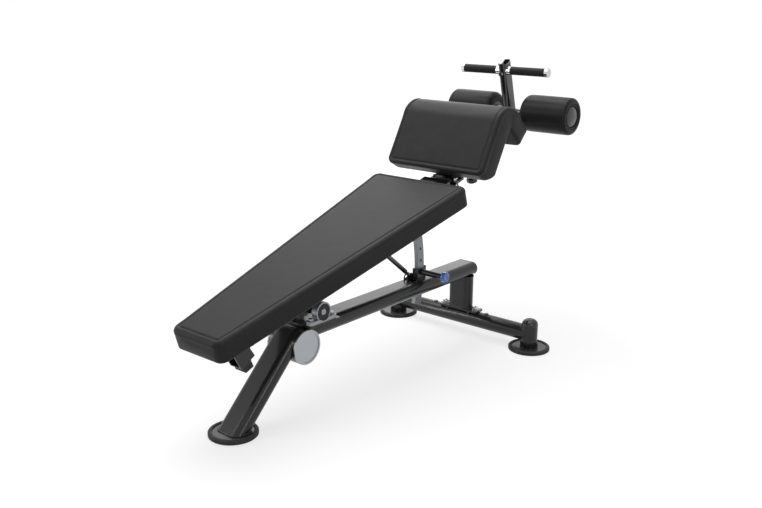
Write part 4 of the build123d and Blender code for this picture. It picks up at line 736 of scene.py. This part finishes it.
# Handle grips: black rubber sleeves pushed over the handle tube, moulded with fine rings every 4 mm
# between plain collars. Dull, with a faint grain about 1 mm across.
RING_PITCH, COLLAR = 4.0, 6
grip_rubber, tree, shader = surface("black grip rubber", "#1a1a1b", 0.40, IOR=1.52, Specular_IOR_Level=0.2)
drift(tree, shader, 14, 0.36, 0.5)
relief(tree, shader, [(clouds(tree, 1.0, 1.0), "Fac", 0.04)])
bar_low, bar_high = tilted_box("handle_bar")
bar_radius = (bar_high[0] - bar_low[0]) / 2
bar_centre = tilted((bar_low[0] + bar_high[0]) / 2, 0.0, (bar_low[2] + bar_high[2]) / 2)
for side, word in SIDES:
    grip_low, grip_high = tilted_box(f"handle_grip_{word}")
    start, stop = sorted((abs(grip_low[1]), abs(grip_high[1])))
    outer = (grip_high[0] - grip_low[0]) / 2
    run = np.linspace(start + COLLAR, stop - COLLAR, 281)
    rings = outer - 0.55 + 0.45 * np.cos(2 * np.pi * (run - start - COLLAR) / RING_PITCH)
    profile = np.concatenate([[(start, bar_radius), (start, outer - 0.8), (start + 0.8, outer),
                               (start + 5, outer)],
                              np.stack([run, rings], axis=1),
                              [(stop - 5, outer), (stop - 0.8, outer), (stop, outer - 0.8),
                               (stop, bar_radius), (start, bar_radius)]])
    put(turned(f"grip_{word}", profile, bar_centre, side * ACROSS, ALONG, count=48), grip_rubber,
        "black_rubber", "carriage", f"handle_grip_{word}")

# Ankle rollers: foam sleeves in tight black vinyl, drawn over a plastic core. The cover is rolled over
# the outer end into a rim, with a crease where the end disc is sewn in, round a domed plastic cap. Both
# are smooth; the vinyl has slow waves, about 34 mm across, where the foam gives.
AXLE_BORE, CAP_RADIUS = 12.6, 39.6
FLANGE, SUNK = 4, 8  # mm: the core's inner flange, and how far the outer end's disc lies inside the rim
cap_plastic, tree, shader = surface("dark grey moulded cap", "#565657", 0.22, IOR=1.49)
drift(tree, shader, 20, 0.22, 0.32)
axle_low, axle_high = tilted_box("roller_axle")
axle = tilted((axle_low[0] + axle_high[0]) / 2, 0.0, (axle_low[2] + axle_high[2]) / 2)
foam_low, foam_high = tilted_box("roller_foam_left")
inner, outer, radius = foam_low[1], foam_high[1], (foam_high[0] - foam_low[0]) / 2
sleeve = eased([(inner + FLANGE, 22), (inner + FLANGE, 33), (inner, 34.5), (inner, radius - 22),
                (inner + 1.5, radius - 14), (inner + 6, radius - 6.5), (inner + 13, radius - 1.8),
                (inner + 22, radius - 0.2), (inner + 50, radius), (outer - 50, radius),
                (outer - 19.5, radius - 0.1), (outer - 16.8, radius - 1.5), (outer - 14.0, radius - 0.3),
                (outer - 8.5, radius - 1.0), (outer - 4.0, radius - 3.6), (outer - 1.0, radius - 8.5),
                (outer, radius - 14), (outer, radius - 19), (outer - 1.8, radius - 21.5),
                (outer - 3.6, radius - 23), (outer - 1.6, radius - 24.5), (outer - 0.8, radius - 27),
                (outer - 2.4, radius - 30), (outer - 6, radius - 31.2), (outer - SUNK, 40.1),
                (outer - SUNK, 22), (inner + FLANGE, 22)], passes=3)
dome = np.linspace(0, np.pi / 2, 16)
core = np.concatenate([[(outer - 23, 0), (outer - 23, AXLE_BORE), (inner, AXLE_BORE), (inner, 33),
                        (inner + FLANGE, 33), (inner + FLANGE, 21.9), (outer - SUNK, 21.9),
                        (outer - SUNK, CAP_RADIUS)],
                       np.stack([outer - 7.4 + 10.4 * np.sin(dome), CAP_RADIUS * np.cos(dome)], axis=1)[:-1],
                       [(outer + 3.0, 0)]])
roller_vinyl, tree, shader = surface("smooth black vinyl", "#303030", 0.32, IOR=1.48, Specular_IOR_Level=0.1)
drift(tree, shader, 60, 0.30, 0.35)
relief(tree, shader, [(clouds(tree, 34, 2.0), "Fac", 0.08), (clouds(tree, 1.2, 1.0), "Fac", 0.02)])
for side, word in SIDES:
    foam = put(turned(f"roller_sleeve_{word}", sleeve, axle, side * ACROSS, ALONG, count=128), roller_vinyl,
               "black_vinyl", f"roller_{word}", f"roller_foam_{word}")
    put(turned(f"roller_hub_{word}", core, axle, side * ACROSS, ALONG, count=96), cap_plastic,
        "black_plastic", f"roller_{word}", f"roller_core_{word}")

# Axle collars: domed stops of turned steel, nickel plated, fixed on the axle. They face the upright and
# keep each roller in its place. One node of the CAD holds them all, so the left one stands for it.
COLLAR_GAP = 0.8  # mm between a roller and its collar
nickel, tree, shader = surface("nickel plated steel", "#7c7d80", 0.2, 1.0)
drift(tree, shader, 8, 0.15, 0.28)
dress(nickel, "axle_collars")
bend = np.linspace(0, np.pi / 2, 12)
collar_side = np.concatenate([[(inner - COLLAR_GAP, AXLE_BORE), (inner - COLLAR_GAP, 21)],
                              np.stack([inner - 3.5 - 15.1 * np.sin(bend), 13.6 + 7.4 * np.cos(bend)],
                                       axis=1),
                              [(inner - 18.6, AXLE_BORE), (inner - COLLAR_GAP, AXLE_BORE)]])
for side, word in SIDES:
    pieces = ("axle_collars",) if side > 0 else ()
    put(turned(f"axle_stop_{word}", collar_side, axle, side * ACROSS, ALONG, count=64), nickel, "chrome",
        "carriage", *pieces)
